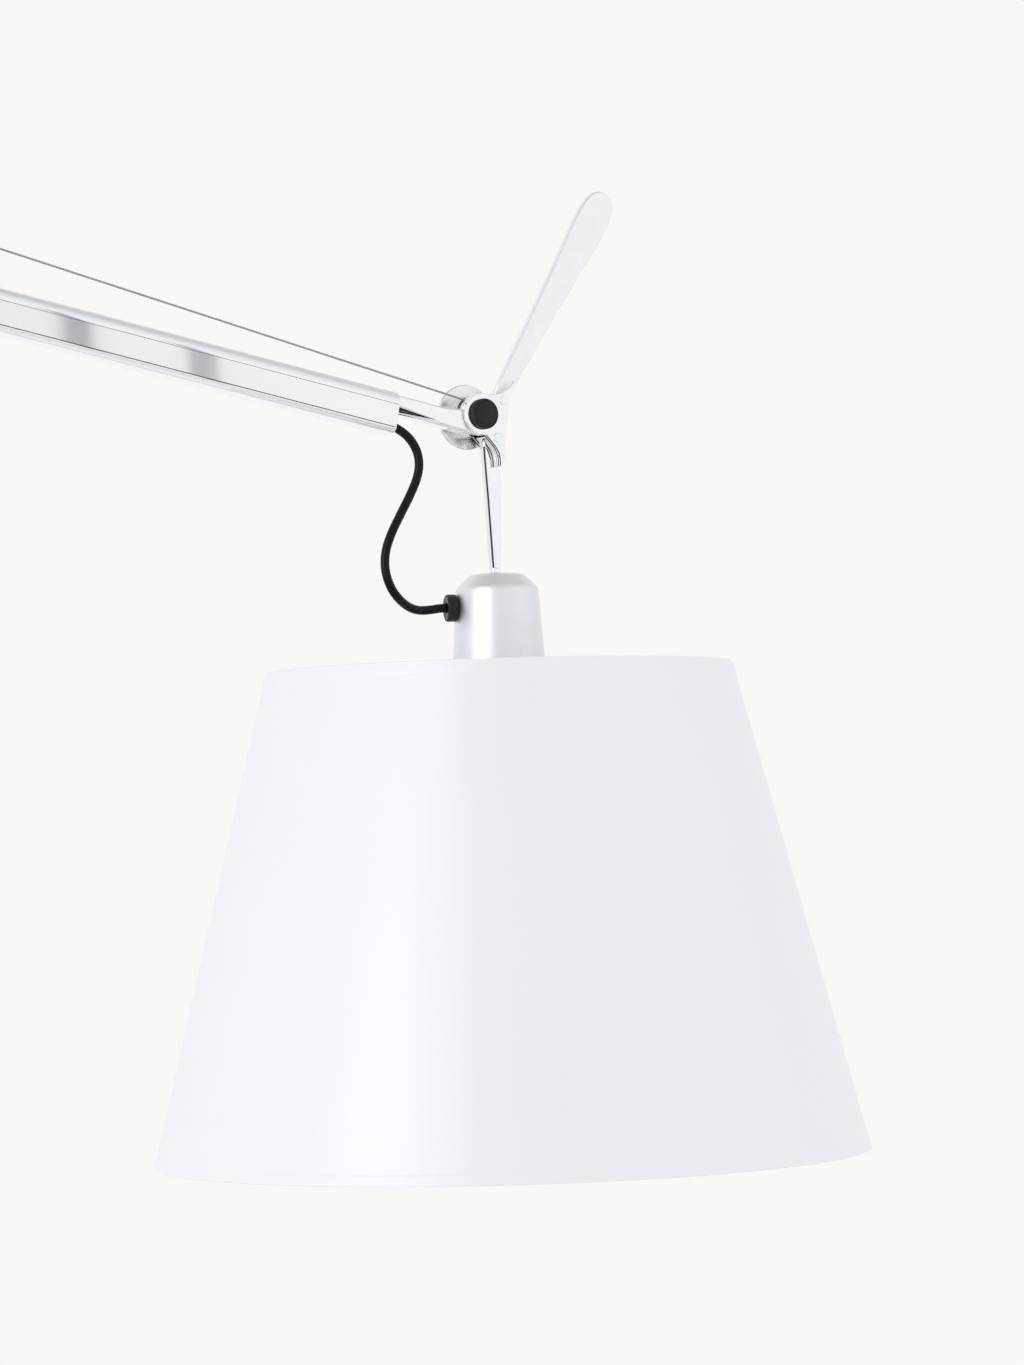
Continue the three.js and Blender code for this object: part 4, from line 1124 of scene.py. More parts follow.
# ---------------------------------------------------------------- joints
@dataclass
class CableHorn:
    """A finger that grows from a pivot's eye and holds a cable's end in its fork.

    The eye's round stops at the clearing, in degrees, on each side of the finger.
    """

    angle: float
    length: float = 64.0
    tip: float = 4.6
    root: float = 9.0
    fork: float = 0.88
    clearing: float = 48.0

    def flank(self, start: float, stop: float, side: int, count: int = 18) -> np.ndarray:
        """One flank: half the width falls from root to tip with the 1.5th power of what is left.

        Args:
            start: Distance along the finger of the first point.
            stop: Distance of the last point.
            side: 1 for the flank on the anticlockwise side, -1 for the other.
            count: The number of points.

        Returns:
            An (n, 2) array about the pivot.
        """
        along = np.linspace(start, stop, count)
        share = np.clip(1 - along / self.length, 0, 1) ** 1.5
        half = side * (self.tip + (self.root - self.tip) * share)
        a = math.radians(self.angle)
        return np.stack([along * math.cos(a) - half * math.sin(a),
                         along * math.sin(a) + half * math.cos(a)], axis=1)

    def whole(self) -> np.ndarray:
        """Out along the clockwise flank, round the tip and back along the other."""
        near = 8.0
        out, back = self.flank(near, self.length, -1), self.flank(self.length, near, 1)
        tip = arc(*self.tip_centre(), self.tip, self.angle - 90, self.angle + 90, 20)
        return np.concatenate([out, tip, back])

    def core(self, start: float) -> np.ndarray:
        """The middle layer, which stops where the fork opens."""
        stop = self.length * self.fork
        return outline(self.flank(start, stop, -1), self.flank(stop, start, 1))

    def tip_centre(self) -> tuple[float, float]:
        """Where the cable's pin sits, from the pivot."""
        a = math.radians(self.angle)
        return self.length * math.cos(a), self.length * math.sin(a)


@dataclass
class Turret:
    """The casting that swivels in the stem, with its blade up to the shoulder."""

    pivots: Pivots
    half: float = 5.6
    slot_half: float = 2.1
    eye: float = 12.2
    collar_foot: float = -76.4
    collar_top: float = -54.4
    spigot_foot: float = -130.0
    horn_angle: float = 172.5
    body: str = "turret"

    def build(self) -> CableHorn:
        """Makes the trunk, the blade's three layers and the anchor pin.

        Returns:
            The horn, whose tip holds the lower cable.
        """
        place = Placement(self.pivots.shoulder)
        top, foot = self.collar_top, self.collar_foot
        trunk = turned("turret_trunk", [
            [0, self.spigot_foot], [8, self.spigot_foot], [8, foot], [16, foot], [16, top - 6],
            [11.5, top + 1], [0, top + 1]], Along.Z, place, rounding=2.0)
        mount(trunk, self.body, POLISHED, Slot.POLISHED, "turret")
        horn = CableHorn(self.horn_angle)
        back = np.concatenate([bend((-10.6, top - 3), (-11.2, -30), (-15.0, -9.5)),
                               bend((-15.0, -9.5), (-13.6, -8), (-12.2, -7.2), 5)])[::-1]
        rest = [[(10.6, top - 3)], bend((10.6, top - 3), (10.4, -26), (12.1, -1.5)),
                arc(0, 0, self.eye, -6, self.horn_angle - horn.clearing, 40)]
        side = outline(*rest, horn.whole(), back)
        core = outline(*rest, horn.core(6.0), back)
        layered(self.body, "turret_blade", side, core, self.half, self.slot_half, place)
        x, z = horn.tip_centre()
        pin = turned("lower_anchor_pin", [[0, -self.half], [1.6, -self.half], [1.6, self.half],
                                          [0, self.half]], Along.Y,
                     Placement(place.at((x, 0, z))), rounding=0.3, sides=32)
        mount(pin, self.body, STEEL, Slot.STEEL, "lower_cable_anchor")
        return horn


def layered(body: str, name: str, side: np.ndarray, core: np.ndarray, half: float,
            slot_half: float, place: Placement, rim: float = 1.1) -> None:
    """Makes a blade of two outer layers with rounded rims and a middle layer with its slots.

    Args:
        body: The body it moves with.
        name: The pieces' name.
        side: The outer layers' outline.
        core: The middle layer's outline.
        half: Half the blade's thickness.
        slot_half: Half the middle layer's thickness.
        place: The blade's frame.
        rim: The outer rims' radius.
    """
    near = prism(f"{name}_near", side, edge_stations(-half, -slot_half, rim, 0), Along.Y, place)
    far = prism(f"{name}_far", side, edge_stations(slot_half, half, 0, rim), Along.Y, place)
    middle = prism(f"{name}_core", core, edge_stations(-slot_half, slot_half, 0, 0), Along.Y, place)
    for piece in (near, far, middle):
        mount(piece, body, POLISHED, Slot.POLISHED)


@dataclass
class JointHardware:
    """A pivot pin with a domed cap at one end and a friction knob at the other."""

    name: str
    pivot: Point
    pin_body: str
    knob_body: str
    pin: float = 4.0
    cheek_out: float = 8.4
    cap: float = 9.0
    cap_height: float = 3.0
    knob: float = 19.2
    knob_thick: float = 4.2
    eye: float = 12.2

    def build(self) -> None:
        """Makes the pin, the cap and the knob."""
        place = Placement(self.pivot)
        face, inner = -self.cheek_out - 0.3, self.cheek_out + 0.3
        rim = inner + self.knob_thick
        pin = turned(f"{self.name}_pivot_pin", [
            [0, -self.cheek_out], [self.pin, -self.cheek_out], [self.pin, rim], [0, rim]],
            Along.Y, place, rounding=0.5, sides=40)
        mount(pin, self.pin_body, STEEL, Slot.STEEL, f"{self.name}_pin")
        h, r = self.cap_height, self.cap
        cap = turned(f"{self.name}_dome_cap", [
            [0, face], [r, face], [r, face - h * 0.62], [r - 0.55, face - h * 0.9],
            [r - 1.15, face - h * 0.86], [r - 1.5, face - h * 0.7], [r - 3.2, face - h * 0.92],
            [r * 0.3, face - h], [0, face - h]], Along.Y, place, rounding=0.3, sides=80)
        mount(cap, self.pin_body, BLACK_PLASTIC, Slot.PLASTIC, f"{self.name}_cap")
        k = self.knob
        disc = turned(f"{self.name}_turned_knob", [
            [self.pin + 0.4, inner], [self.eye, inner], [self.eye, inner + 1.5], [k - 0.6, inner + 1.5],
            [k, inner + 2.1], [k, rim - 1], [k - 1.2, rim], [k - 4.4, rim], [k - 5, rim - 0.8],
            [8.5, rim - 0.8], [7.5, rim + 1.2], [self.pin + 0.4, rim + 1.2]], Along.Y, place,
            rounding=0.35, sides=96)
        mount(disc, self.knob_body, TURNED, Slot.SATIN, f"{self.name}_knob")


# ---------------------------------------------------------------- arms
@dataclass
class BalancedArm:
    """A flattened tube between a forked tail and a slotted neck, with its cable outside."""

    name: str
    root: Point
    angle: float
    reach: float = 900.0
    rise: float = 11.5
    high: float = 25.0
    wide: float = 18.0
    wall: float = 1.6
    top_corner: float = 8.4
    foot_corner: float = 3.2
    tube_start: float = 60.0
    far_setback: float = 56.0
    lug_half: float = 5.6
    cheek_in: float = 5.9
    cheek_out: float = 8.4
    eye: float = 12.2
    wheel: float = 8.4
    cable: float = 0.6
    cable_offset: float = 6.8
    slot_half: float = 2.1

    @property
    def place(self) -> Placement:
        """The arm's own frame: x along the tube from the root pivot, z to the cable's side."""
        return Placement(self.root, turn=self.angle)

    @property
    def tube_end(self) -> float:
        """Where the tube stops, along the arm."""
        return self.reach - self.far_setback

    def build(self, frame: dict, horn_angle: Optional[float] = None) -> Optional[CableHorn]:
        """Makes the arm's pieces.

        Args:
            frame: The loaded frame.
            horn_angle: The direction of the next cable's horn in the lamp's frame, if it has one.

        Returns:
            The horn, in the arm's own frame.
        """
        self.tail()
        self.extrusion()
        horn = None if horn_angle is None else CableHorn(horn_angle - self.angle)
        self.neck(horn)
        self.cable_wheel()
        redress(frame, HIDDEN_STEEL, f"{self.name}_spring")
        return horn

    def tail(self) -> None:
        """Two cheeks that straddle the blade below, and the bar that joins them to the tube."""
        half = self.high / 2 - 3.6
        cheek = outline(arc(0, 0, self.eye, 80, 280, 48),
                        bend((2.5, -self.eye + 0.3), (26, -half - 1.6), (48, -half)),
                        bend((48, half), (26, half + 1.6), (2.5, self.eye - 0.3)))
        for side, (y0, y1) in (("near", (-self.cheek_out, -self.cheek_in)),
                               ("far", (self.cheek_in, self.cheek_out))):
            piece = prism(f"{self.name}_tail_{side}", cheek, edge_stations(y0, y1, 0.7, 0.7),
                          Along.Y, self.place)
            mount(piece, self.name, POLISHED, Slot.POLISHED, f"{self.name}_tail")
        web = prism(f"{self.name}_tail_web", rounded_box(2 * self.cheek_out, self.high - 6, 4),
                    edge_stations(40, self.tube_start - 0.3, 2.0, 0.6), Along.X, self.place)
        mount(web, self.name, POLISHED, Slot.POLISHED)

    def extrusion(self) -> None:
        """The tube: out along its outside, over a rounded rim, and back along its bore."""
        a = np.linspace(0, math.pi, 7)
        rim_in = self.wall / 2 * (1 - np.cos(a))
        rim_out = 0.5 * np.sin(a)
        runs = np.linspace(self.tube_start + 0.5, self.tube_end - 0.5, 24)
        stations = np.concatenate([
            np.stack([np.zeros_like(runs), runs], axis=1),
            np.stack([rim_in, self.tube_end - 0.5 + rim_out], axis=1)[1:-1],
            np.stack([np.full_like(runs, self.wall), runs[::-1]], axis=1),
            np.stack([rim_in[::-1], self.tube_start + 0.5 - rim_out], axis=1)[1:-1]])
        section = rounded_box(self.wide, self.high, self.top_corner, self.foot_corner)
        piece = prism(f"{self.name}_extrusion", section, stations, Along.X, self.place, Ends.LOOP)
        mount(piece, self.name, ANODISED, Slot.ANODISED, f"{self.name}_tube")
        self.creases()

    def creases(self) -> None:
        """Painted reflections: thin black strips where the tube's flat sides meet its rounded top and
        foot, standing for the dark lines those edges mirror.
        """
        top, foot = self.high / 2 - self.top_corner, self.foot_corner - self.high / 2
        lines = (("top", top, 0.12, self.tube_end - 1), ("foot", foot, 0.24, self.tube_end - 1))
        # Black strips on both flat sides: painted reflections, not real grooves.
        for name, z, half, stop in lines:
            for side, y in (("near", -self.wide / 2), ("far", self.wide / 2)):
                strip = np.array([[y - 0.03, z - half], [y + 0.03, z - half], [y + 0.03, z + half],
                                  [y - 0.03, z + half]])
                piece = prism(f"{self.name}_crease_{name}_{side}", strip,
                              edge_stations(self.tube_start + 1, stop, 0, 0), Along.X, self.place)
                mount(piece, self.name, PAINTED_DARK_LINES, Slot.PLASTIC)

    def neck(self, horn: Optional[CableHorn]) -> None:
        """The grooved bar and its eye, in layers: two faces with the groove, two sides, and a
        middle that leaves the wheel's slot.

        Args:
            horn: The next cable's horn, if the eye carries one.
        """
        x, end, r, z = self.reach, self.tube_end, self.eye, self.rise
        foot, top, start = -0.8, self.high / 2 - self.wall - 0.3, self.tube_end - 8
        below = [(start, foot), (end, foot),
                 *bend((end + 20, foot + 0.5), (x - 14, z - r - 0.2), (x - 1, z - r), 10)]
        above = [*bend((x - 12.1, z + 1), (x - 16, z - 0.3), (x - 26, z - 1.0), 10),
                 (end, top), (start, top)]
        shift = np.array([x, z])
        if horn:
            front = [arc(x, z, r, 268, 360 + horn.angle - horn.clearing, 8),
                     horn.whole() + shift, arc(x, z, r, horn.angle + horn.clearing, 174, 40)]
        else:
            front = [arc(x, z, r, 268, 534, 72)]
        groove = [(start, foot + 4.3), (end + 0.5, foot + 4.1), (end + 26, foot + 2.6),
                  (end + 0.5, foot + 2.9), (start, foot + 2.9)]
        whole, faced = outline(below, *front, above), outline(below, *front, above, groove)
        floor = z - self.wheel - 0.4
        core = outline(below[:-3], [(x, z - r + 0.2), (x + 8.6, floor - 0.2), (x - 26, floor),
                                    (x - 26, z - 1.2)], above[-2:])
        half, step = self.lug_half, 2.2
        layers = {"face_near": (faced, edge_stations(-half, step - half, 1.9, 0)),
                  "face_far": (faced, edge_stations(half - step, half, 0, 1.9)),
                  "side_near": (whole, edge_stations(step - half, -self.slot_half, 0, 0)),
                  "side_far": (whole, edge_stations(self.slot_half, half - step, 0, 0)),
                  "core": (core, edge_stations(-self.slot_half, self.slot_half, 0, 0))}
        if horn:
            layers["horn_core"] = (horn.core(9.6) + shift,
                                   edge_stations(-self.slot_half, self.slot_half, 0, 0))
        for part, (shape, stations) in layers.items():
            piece = prism(f"{self.name}_neck_{part}", shape, stations, Along.Y, self.place)
            mount(piece, self.name, POLISHED, Slot.POLISHED, f"{self.name}_neck")
        # Thin black sheets at the groove's floor on both faces: painted shade standing for the groove's
        # dark inside.
        shadow = outline(groove)
        for side, y in (("near", -half + step), ("far", half - step)):
            piece = prism(f"{self.name}_neck_groove_{side}", shadow,
                          edge_stations(y - 0.08, y + 0.08, 0, 0), Along.Y, self.place)
            mount(piece, self.name, PAINTED_DARK_LINES, Slot.PLASTIC)
        if horn:
            tip = np.array(horn.tip_centre()) + shift
            pin = turned("upper_anchor_pin", [[0, -half], [1.6, -half], [1.6, half], [0, half]],
                         Along.Y, Placement(self.place.at((tip[0], 0, tip[1]))), rounding=0.3,
                         sides=32)
            mount(pin, self.name, STEEL, Slot.STEEL, "upper_cable_anchor")

    def cable_wheel(self) -> None:
        """The grooved wheel that the cable turns over, in the neck's slot."""
        groove = self.cable_offset - self.cable - 0.3
        hub = Placement(self.place.at((self.reach, 0, self.rise)))
        wheel = turned(f"{self.name}_grooved_wheel", [
            [4.4, -1.7], [self.wheel, -1.7], [self.wheel, -1.1], [groove, -0.7], [groove, 0.7],
            [self.wheel, 1.1], [self.wheel, 1.7], [4.4, 1.7]], Along.Y, hub, rounding=0.25)
        mount(wheel, self.name, STEEL, Slot.STEEL, f"{self.name}_wheel")

    def run_cable(self, anchor: Point, held_by: str) -> None:
        """The cable: a loop round the anchor's pin, a straight run, and a turn over the wheel.

        Args:
            anchor: The anchor pin's middle, in metres.
            held_by: The body that the anchor is on.
        """
        hub = np.array(self.place.at((self.reach, 0, self.rise)))
        pin = np.array(anchor)
        line = hub - pin
        distance = float(np.linalg.norm(line))
        offset = self.cable_offset * MM
        straight = math.sqrt(distance ** 2 - offset ** 2)
        heading = math.atan2(line[2], line[0]) + math.asin(offset / distance)
        way = np.array([math.cos(heading), 0.0, math.sin(heading)])
        side = np.array([-way[2], 0.0, way[0]])
        loop, strand = 2.3, 0.55
        start = loop * MM
        run = pin + way * np.linspace(start, straight, 60)[:, None]
        wrap = np.radians(np.linspace(0, 84, 16))[1:, None]
        over = hub + offset * (side * np.cos(wrap) + way * np.sin(wrap))
        cable = tube(f"{self.name}_outer_cable", np.concatenate([run, over]), self.cable * MM,
                     (0, 1, 0), sides=12)
        dress(cable, STRAND, [f"{self.name}_cable"])
        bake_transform(cable)
        ring = np.linspace(0, 2 * np.pi, 25, endpoint=False)
        section = np.linspace(0, 2 * np.pi, 10, endpoint=False)
        reach = loop + strand * np.cos(section)
        grid = laid(reach * np.cos(ring)[:, None], reach * np.sin(ring)[:, None],
                    strand * np.sin(section)[None, :] + 0 * ring[:, None], Along.Y)
        eye = grid_piece(f"{self.name}_cable_eye", Placement(anchor).to_lamp(grid), Ends.LOOP,
                         even=False)
        mount(eye, held_by, STRAND, Slot.CABLE)
        sleeve = turned(f"{self.name}_cable_sleeve", [[0, 3.2], [1.15, 3.2], [1.15, 11], [0, 11]],
                        Along.X, Placement(anchor, turn=math.degrees(heading)), rounding=0.3,
                        sides=20)
        mount(sleeve, held_by, STEEL, Slot.CABLE)


# ---------------------------------------------------------------- head
@dataclass
class HeadBracket:
    """Two plates round the wrist, the core between them, the handle above and the leg below."""

    pivot: Point
    eye: float = 12.2
    plate_in: float = 5.9
    plate_out: float = 8.4
    handle_thick: float = 5.0
    handle_length: float = 138.0
    handle_root: float = 11.4
    handle_tip: float = 22.0
    handle_angle: float = 59.5
    leg_thick: float = 5.6
    leg_corner: float = 1.5
    rivets: tuple[tuple[float, float], ...] = ((13.8, 8.9), (9.8, -13.2))
    leg_pin: tuple[float, float] = (13.4, -87.7)
    body: str = "head"

    def build(self) -> None:
        """Makes the bracket's pieces."""
        place = Placement(self.pivot)
        self.plates(place)
        self.handle(place)
        self.leg(place)

    def plate_outline(self) -> np.ndarray:
        """A boss round the pivot, a horn up to the handle and a tail down to the leg."""
        return outline(bend((2.5, self.eye - 0.2), (14.6, 10.9), (21.2, 20.6)),
                       bend((21.2, 20.6), (22.3, 21.4), (22.8, 20), 8),
                       bend((22.8, 20), (17.6, 8), (16, -5)),
                       bend((16, -5), (15.7, -12.5), (15.4, -20), 6),
                       bend((15.4, -20), (15.2, -27.4), (12, -30), 12),
                       bend((12, -30), (12.4, -22.6), (8.6, -18.4)),
                       bend((8.6, -18.4), (5.4, -15), (2.2, -self.eye + 0.2)),
                       arc(0, 0, self.eye, 280, 78, 72))

    def plates(self, place: Placement) -> None:
        """The two plates, the core that spaces them, and the rivets through all three.

        Args:
            place: The wrist's frame.
        """
        shape = self.plate_outline()
        for side, (y0, y1) in (("near", (-self.plate_out, -self.plate_in)),
                               ("far", (self.plate_in, self.plate_out))):
            trims = (0.4, 0.0) if side == "near" else (0.0, 0.4)
            piece = prism(f"wrist_plate_{side}", shape, edge_stations(y0, y1, *trims), Along.Y,
                          place)
            mount(piece, self.body, POLISHED, Slot.POLISHED, f"bracket_plate_{side}")
        clear = self.eye + 0.9
        outside = (np.linalg.norm(shape, axis=1) > clear) & (shape[:, 1] < 8.5)
        start = int(np.argmax(outside & ~np.roll(outside, 1)))
        order = np.roll(np.arange(len(shape)), -start)
        band = shrunk(shape, 0.15)[order][outside[order]]
        angles = np.degrees(np.arctan2(band[[-1, 0], 1], band[[-1, 0], 0]))
        core = outline(band, arc(0, 0, clear, angles[0], angles[1], 32))
        piece = prism("wrist_core", core, edge_stations(-self.plate_in, self.plate_in, 0, 0),
                      Along.Y, place)
        mount(piece, self.body, POLISHED, Slot.POLISHED, "bracket_core")
        # Thin black tubes along the tail's lower edge on every plate face: painted shade lines where the
        # faces meet.
        edge = np.concatenate([bend((2.4, -self.eye), (5.5, -15), (8.7, -18.5)),
                               bend((8.7, -18.5), (12.5, -22.6), (12.1, -29.6))[1:]])
        for number, y in enumerate((-self.plate_out + 0.4, -self.plate_in, self.plate_in,
                                    self.plate_out - 0.4), 1):
            path = np.stack([edge[:, 0], np.full(len(edge), y), edge[:, 1]], axis=1)
            line = tube(f"wrist_tail_painted_shade_{number}", place.to_lamp(path), 0.32 * MM, (0, 1, 0),
                        sides=10)
            mount(line, self.body, PAINTED_DARK_LINES, Slot.PLASTIC)
        face = self.plate_out + 0.3
        for name, (x, z) in zip(("upper", "lower"), self.rivets):
            rivet = turned(f"wrist_rivet_{name}", [
                [0, -face - 0.3], [2.4, -face - 0.24], [2.75, -face], [2.75, -face + 0.5],
                [1.6, -face + 0.6], [1.6, face - 0.6], [2.75, face - 0.5], [2.75, face],
                [2.4, face + 0.24], [0, face + 0.3]], Along.Y, Placement(place.at((x, 0, z))),
                rounding=0.1, sides=40)
            mount(rivet, self.body, POLISHED, Slot.STEEL, f"rivet_{name}")

    def handle(self, place: Placement) -> None:
        """A paddle that widens from its root to a round tip, in its own frame along x.

        Args:
            place: The wrist's frame.
        """
        root, tip, length = self.handle_root / 2, self.handle_tip / 2, self.handle_length
        end = self.handle_tip * 0.42
        shoulder = length - end - 14
        upper = [(-11, root - 1.6), (-2, root - 0.5),
                 *bend((8, root), (60, root + 1.6), (shoulder, tip), 20),
                 *bend((shoulder, tip), (shoulder + 12, tip), (length - end * 0.6, end * 0.92), 10)]
        upper = np.array(upper)
        shape = outline(upper * (1, -1), arc(length - end, 0, end, -66, 66, 28), upper[::-1])
        own = Placement(place.at((20.2, 0, 19.6)), turn=self.handle_angle)
        half = self.handle_thick / 2
        paddle = prism("paddle_handle", shape, edge_stations(-half, half, 1.3, 1.3), Along.Y, own)
        mount(paddle, self.body, SATIN, Slot.SATIN, "handle")

    def leg(self, place: Placement) -> None:
        """A tapering bar: its left side runs inwards as it goes down, and its corners are round.

        Args:
            place: The wrist's frame.
        """
        down = np.linspace(-15.6, -91.6, 90)
        left = np.interp(-down, [15.6, 22, 50, 91.6], [3.5, 4.0, 6.8, 10.5])
        right = np.interp(-down, [15.6, 25, 34, 84, 91.6], [11.4, 12.2, 15.9, 16.0, 15.8])
        weights = np.hanning(11) / np.hanning(11).sum()
        left = np.convolve(np.pad(left, 5, mode="edge"), weights, mode="valid")
        right = np.convolve(np.pad(right, 5, mode="edge"), weights, mode="valid")
        half = self.leg_thick / 2
        corners = np.stack([np.stack([left, np.full_like(left, -half)], axis=1),
                            np.stack([right, np.full_like(left, -half)], axis=1),
                            np.stack([right, np.full_like(left, half)], axis=1),
                            np.stack([left, np.full_like(left, half)], axis=1)], axis=1)
        rings = rounded(corners, self.leg_corner, steps=8)
        grid = laid(rings[..., 0], rings[..., 1], down[:, None], Along.Z)
        bar = grid_piece("shade_leg", place.to_lamp(grid), Ends.FLAT)
        mount(bar, self.body, POLISHED, Slot.POLISHED, "leg")
        # A thin black tube down the bar's near left corner: a painted reflection, the dark line that the
        # rounded corner mirrors.
        inside = self.leg_corner - (self.leg_corner - 0.2) * math.sqrt(0.5)
        line = np.stack([left + inside, np.full_like(left, inside - half), down], axis=1)[3:-3]
        mount(tube("leg_corner_painted_reflection", place.to_lamp(line), 0.58 * MM, (1, 0, 0), sides=10),
              self.body, PAINTED_DARK_LINES, Slot.PLASTIC)
        # A short black slash near the leg's root: painted shade below the bracket's eye.
        slash = np.linspace((6.4, 0.1 - half, -20.0), (8.5, 0.1 - half, -25.4), 12)
        mount(tube("leg_root_painted_shade", place.to_lamp(slash), 0.4 * MM, (0, 1, 0), sides=10),
              self.body, PAINTED_DARK_LINES, Slot.PLASTIC)
        x, z = self.leg_pin
        pin = turned("shade_leg_pin", [[0, -half - 0.5], [1.75, -half - 0.5], [1.75, half + 0.5],
                                       [0, half + 0.5]], Along.Y,
                     Placement(place.at((x, 0, z))), rounding=0.25, sides=32)
        mount(pin, self.body, POLISHED, Slot.STEEL, "leg_pin")


@dataclass
class ShadeHead:
    """The cup, its holder and bulb, and the shade on its spider, hung from the cup's top."""

    pivot: Point
    offset: tuple[float, float] = (14.2, -92.5)
    tilt: float = 1.95
    cup_top: float = 15.0
    cup_shoulder: float = 24.2
    cup_foot: float = 27.8
    shoulder_drop: float = 8.5
    cup_height: float = 62.0
    gland_angle: float = 162.5
    gland_drop: float = 19.4
    holder: float = 20.0
    bore: float = 14.0
    bulb: float = 30.0
    bulb_length: float = 92.0
    shade_drop: float = 55.2
    shade_top: float = 136.7
    shade_foot: float = 208.3
    shade_height: float = 283.3
    shade_thick: float = 1.5
    hem_lift: float = 0.35
    seam_lift: float = 0.3
    seam_heading: float = 58.0
    wire: float = 1.6
    fitter: float = 26.5
    body: str = "head"

    @property
    def place(self) -> Placement:
        """The hanging frame, whose -z is the shade's axis."""
        top = Placement(self.pivot).at((self.offset[0], 0, self.offset[1]))
        return Placement(top, turn=self.tilt)

    def build(self) -> None:
        """Makes the head's hanging pieces."""
        self.cup()
        self.holder_and_bulb()
        self.spider()
        self.shade()

    def cup(self) -> None:
        """The spun cup, and the gland where the flex goes in."""
        t, top, s, f = 1.6, self.cup_top, self.cup_shoulder, self.cup_foot
        drop, foot = -self.shoulder_drop, -self.cup_height
        shoulder = bend((s + 0.15, drop - 2.4), (s, drop + 0.7), (s - 2.6, drop + 2.7), 14)
        brow = bend((top + 2.6, -1.8), (top + 0.4, 0), (top - 2.6, 0.15), 14)
        cup = turned("spun_cup", [
            [0, -t], [top - 2, -t], [s - t, drop - 0.8], [f - t, foot], [f, foot],
            *shoulder.tolist(), *brow.tolist(), [0, 0.6]],
            Along.Z, self.place, rounding=0.4, sides=96)
        mount(cup, self.body, SPUN, Slot.SATIN, "lampholder_cup")
        down = (self.gland_drop - self.shoulder_drop) / (self.cup_height - self.shoulder_drop)
        side = s + (f - s) * down
        face = side + 0.8
        hub = Placement(self.place.at((0, 0, -self.gland_drop)), turn=self.tilt,
                        swing=self.gland_angle)
        gland = turned("flex_gland_bush", [
            [3.0, face - 5], [4.5, face - 5], [4.5, face - 0.4], [8, face - 0.4],
            [8, face + 4.6], [7.2, face + 5.4], [5.2, face + 5.2], [3.0, face + 4.8]],
            Along.X, hub, rounding=0.5, sides=56)
        mount(gland, self.body, BLACK_PLASTIC, Slot.PLASTIC, "flex_gland")

    def holder_and_bulb(self) -> None:
        """The white holder, the bulb's brass cap and its opal envelope."""
        top, foot, r, bore = -self.shoulder_drop - 19, -self.cup_height - 14, self.holder, self.bore
        holder = turned("bulb_holder", [
            [0, top], [r - 4, top], [r, top - 4], [r, foot], [bore, foot], [bore, top - 8],
            [0, top - 8]], Along.Z, self.place, rounding=1.0)
        mount(holder, self.body, HOLDER_WHITE, Slot.HOLDER, "lampholder")
        cap_top, cap = top - 9, bore - 0.7
        cap_foot = cap_top - 24
        turns = np.linspace(cap_top - 7, cap_foot, 29)
        wave = 0.5 * np.cos((turns - cap_foot) * 2 * np.pi / 3.6)
        thread = np.stack([cap - 0.55 + wave, turns], axis=1)
        contact = turned("bulb_screw_cap", [[0, cap_top], [6, cap_top], [cap - 1, cap_top - 4],
                                            *thread.tolist(), [0, cap_foot]], Along.Z, self.place,
                         rounding=0.4, sides=48)
        mount(contact, self.body, BRASS, Slot.BRASS, "bulb_cap")
        glass_top, throat, b = cap_foot - 0.3, foot - 1, self.bulb
        glass_foot = glass_top - self.bulb_length
        belly = glass_foot + b

        def shell(inset: float) -> np.ndarray:
            """The envelope's neck, flare and round belly, moved in by an inset."""
            neck = np.array([[cap - 1.3 - inset, glass_top], [cap - 0.3 - inset, throat]])
            flare = bend((cap - 0.3 - inset, throat), (cap + 3 - inset, throat - 12),
                         (b * 0.9 - inset, throat - 21), 10)
            round_end = arc(0, belly, b - inset, 8, -90, 22)
            return np.concatenate([neck[:1], flare, round_end[:-1], [[0.0, belly - b + inset]]])

        envelope = turned("bulb_envelope", np.concatenate([shell(1.0)[::-1], shell(0.0)]).tolist(),
                          Along.Z, self.place, rounding=0.6, sides=72)
        mount(envelope, self.body, OPAL, Slot.GLASS, "bulb_glass")

    def cone(self, z: float) -> float:
        """The shade's outside radius at a height in the hanging frame."""
        slope = (self.shade_foot - self.shade_top) / self.shade_height
        return self.shade_top - slope * (z + self.shade_drop)

    def spider(self) -> None:
        """The fitter ring, its three spokes, the two wire rings and the nut."""
        hub_top = -self.cup_height - 0.3
        hub_foot = hub_top - 3.6
        wire_z, hem_z = -self.shade_drop - 3, -self.shade_drop - self.shade_height + 3
        inset = self.shade_thick + 2 * self.wire + 0.3 - 0.8
        ring = turned("fitter_ring", [[20.4, hub_foot], [self.fitter, hub_foot],
                                      [self.fitter, hub_top], [20.4, hub_top]], Along.Z, self.place,
                      rounding=0.6)
        mount(ring, self.body, STEEL, Slot.STEEL, "shade_spider")
        for number, degrees in enumerate((30, 150, 270), 1):
            a = math.radians(degrees)
            way = np.array([math.cos(a), math.sin(a), 0.0])
            t = np.linspace(0, 1, 24)[:, None]
            reach = self.cone(wire_z) - inset
            path = way * (self.fitter - 2 + (reach - self.fitter + 2) * t)
            path[:, 2:] = (hub_top + hub_foot) / 2 + (wire_z - (hub_top + hub_foot) / 2) * t
            spoke = tube(f"spider_spoke_{number}", self.place.to_lamp(path), self.wire * MM,
                         (0, 0, 1), sides=14)
            mount(spoke, self.body, STEEL, Slot.STEEL)
        for name, z, nodes in (("top_wire", wire_z, ()), ("hem_wire", hem_z, ("shade_hem_wire",))):
            a = np.linspace(0, 2 * np.pi, 14, endpoint=False)
            profile = np.stack([self.cone(z) - inset + self.wire * np.cos(a),
                                z + self.wire * np.sin(a)], axis=1)
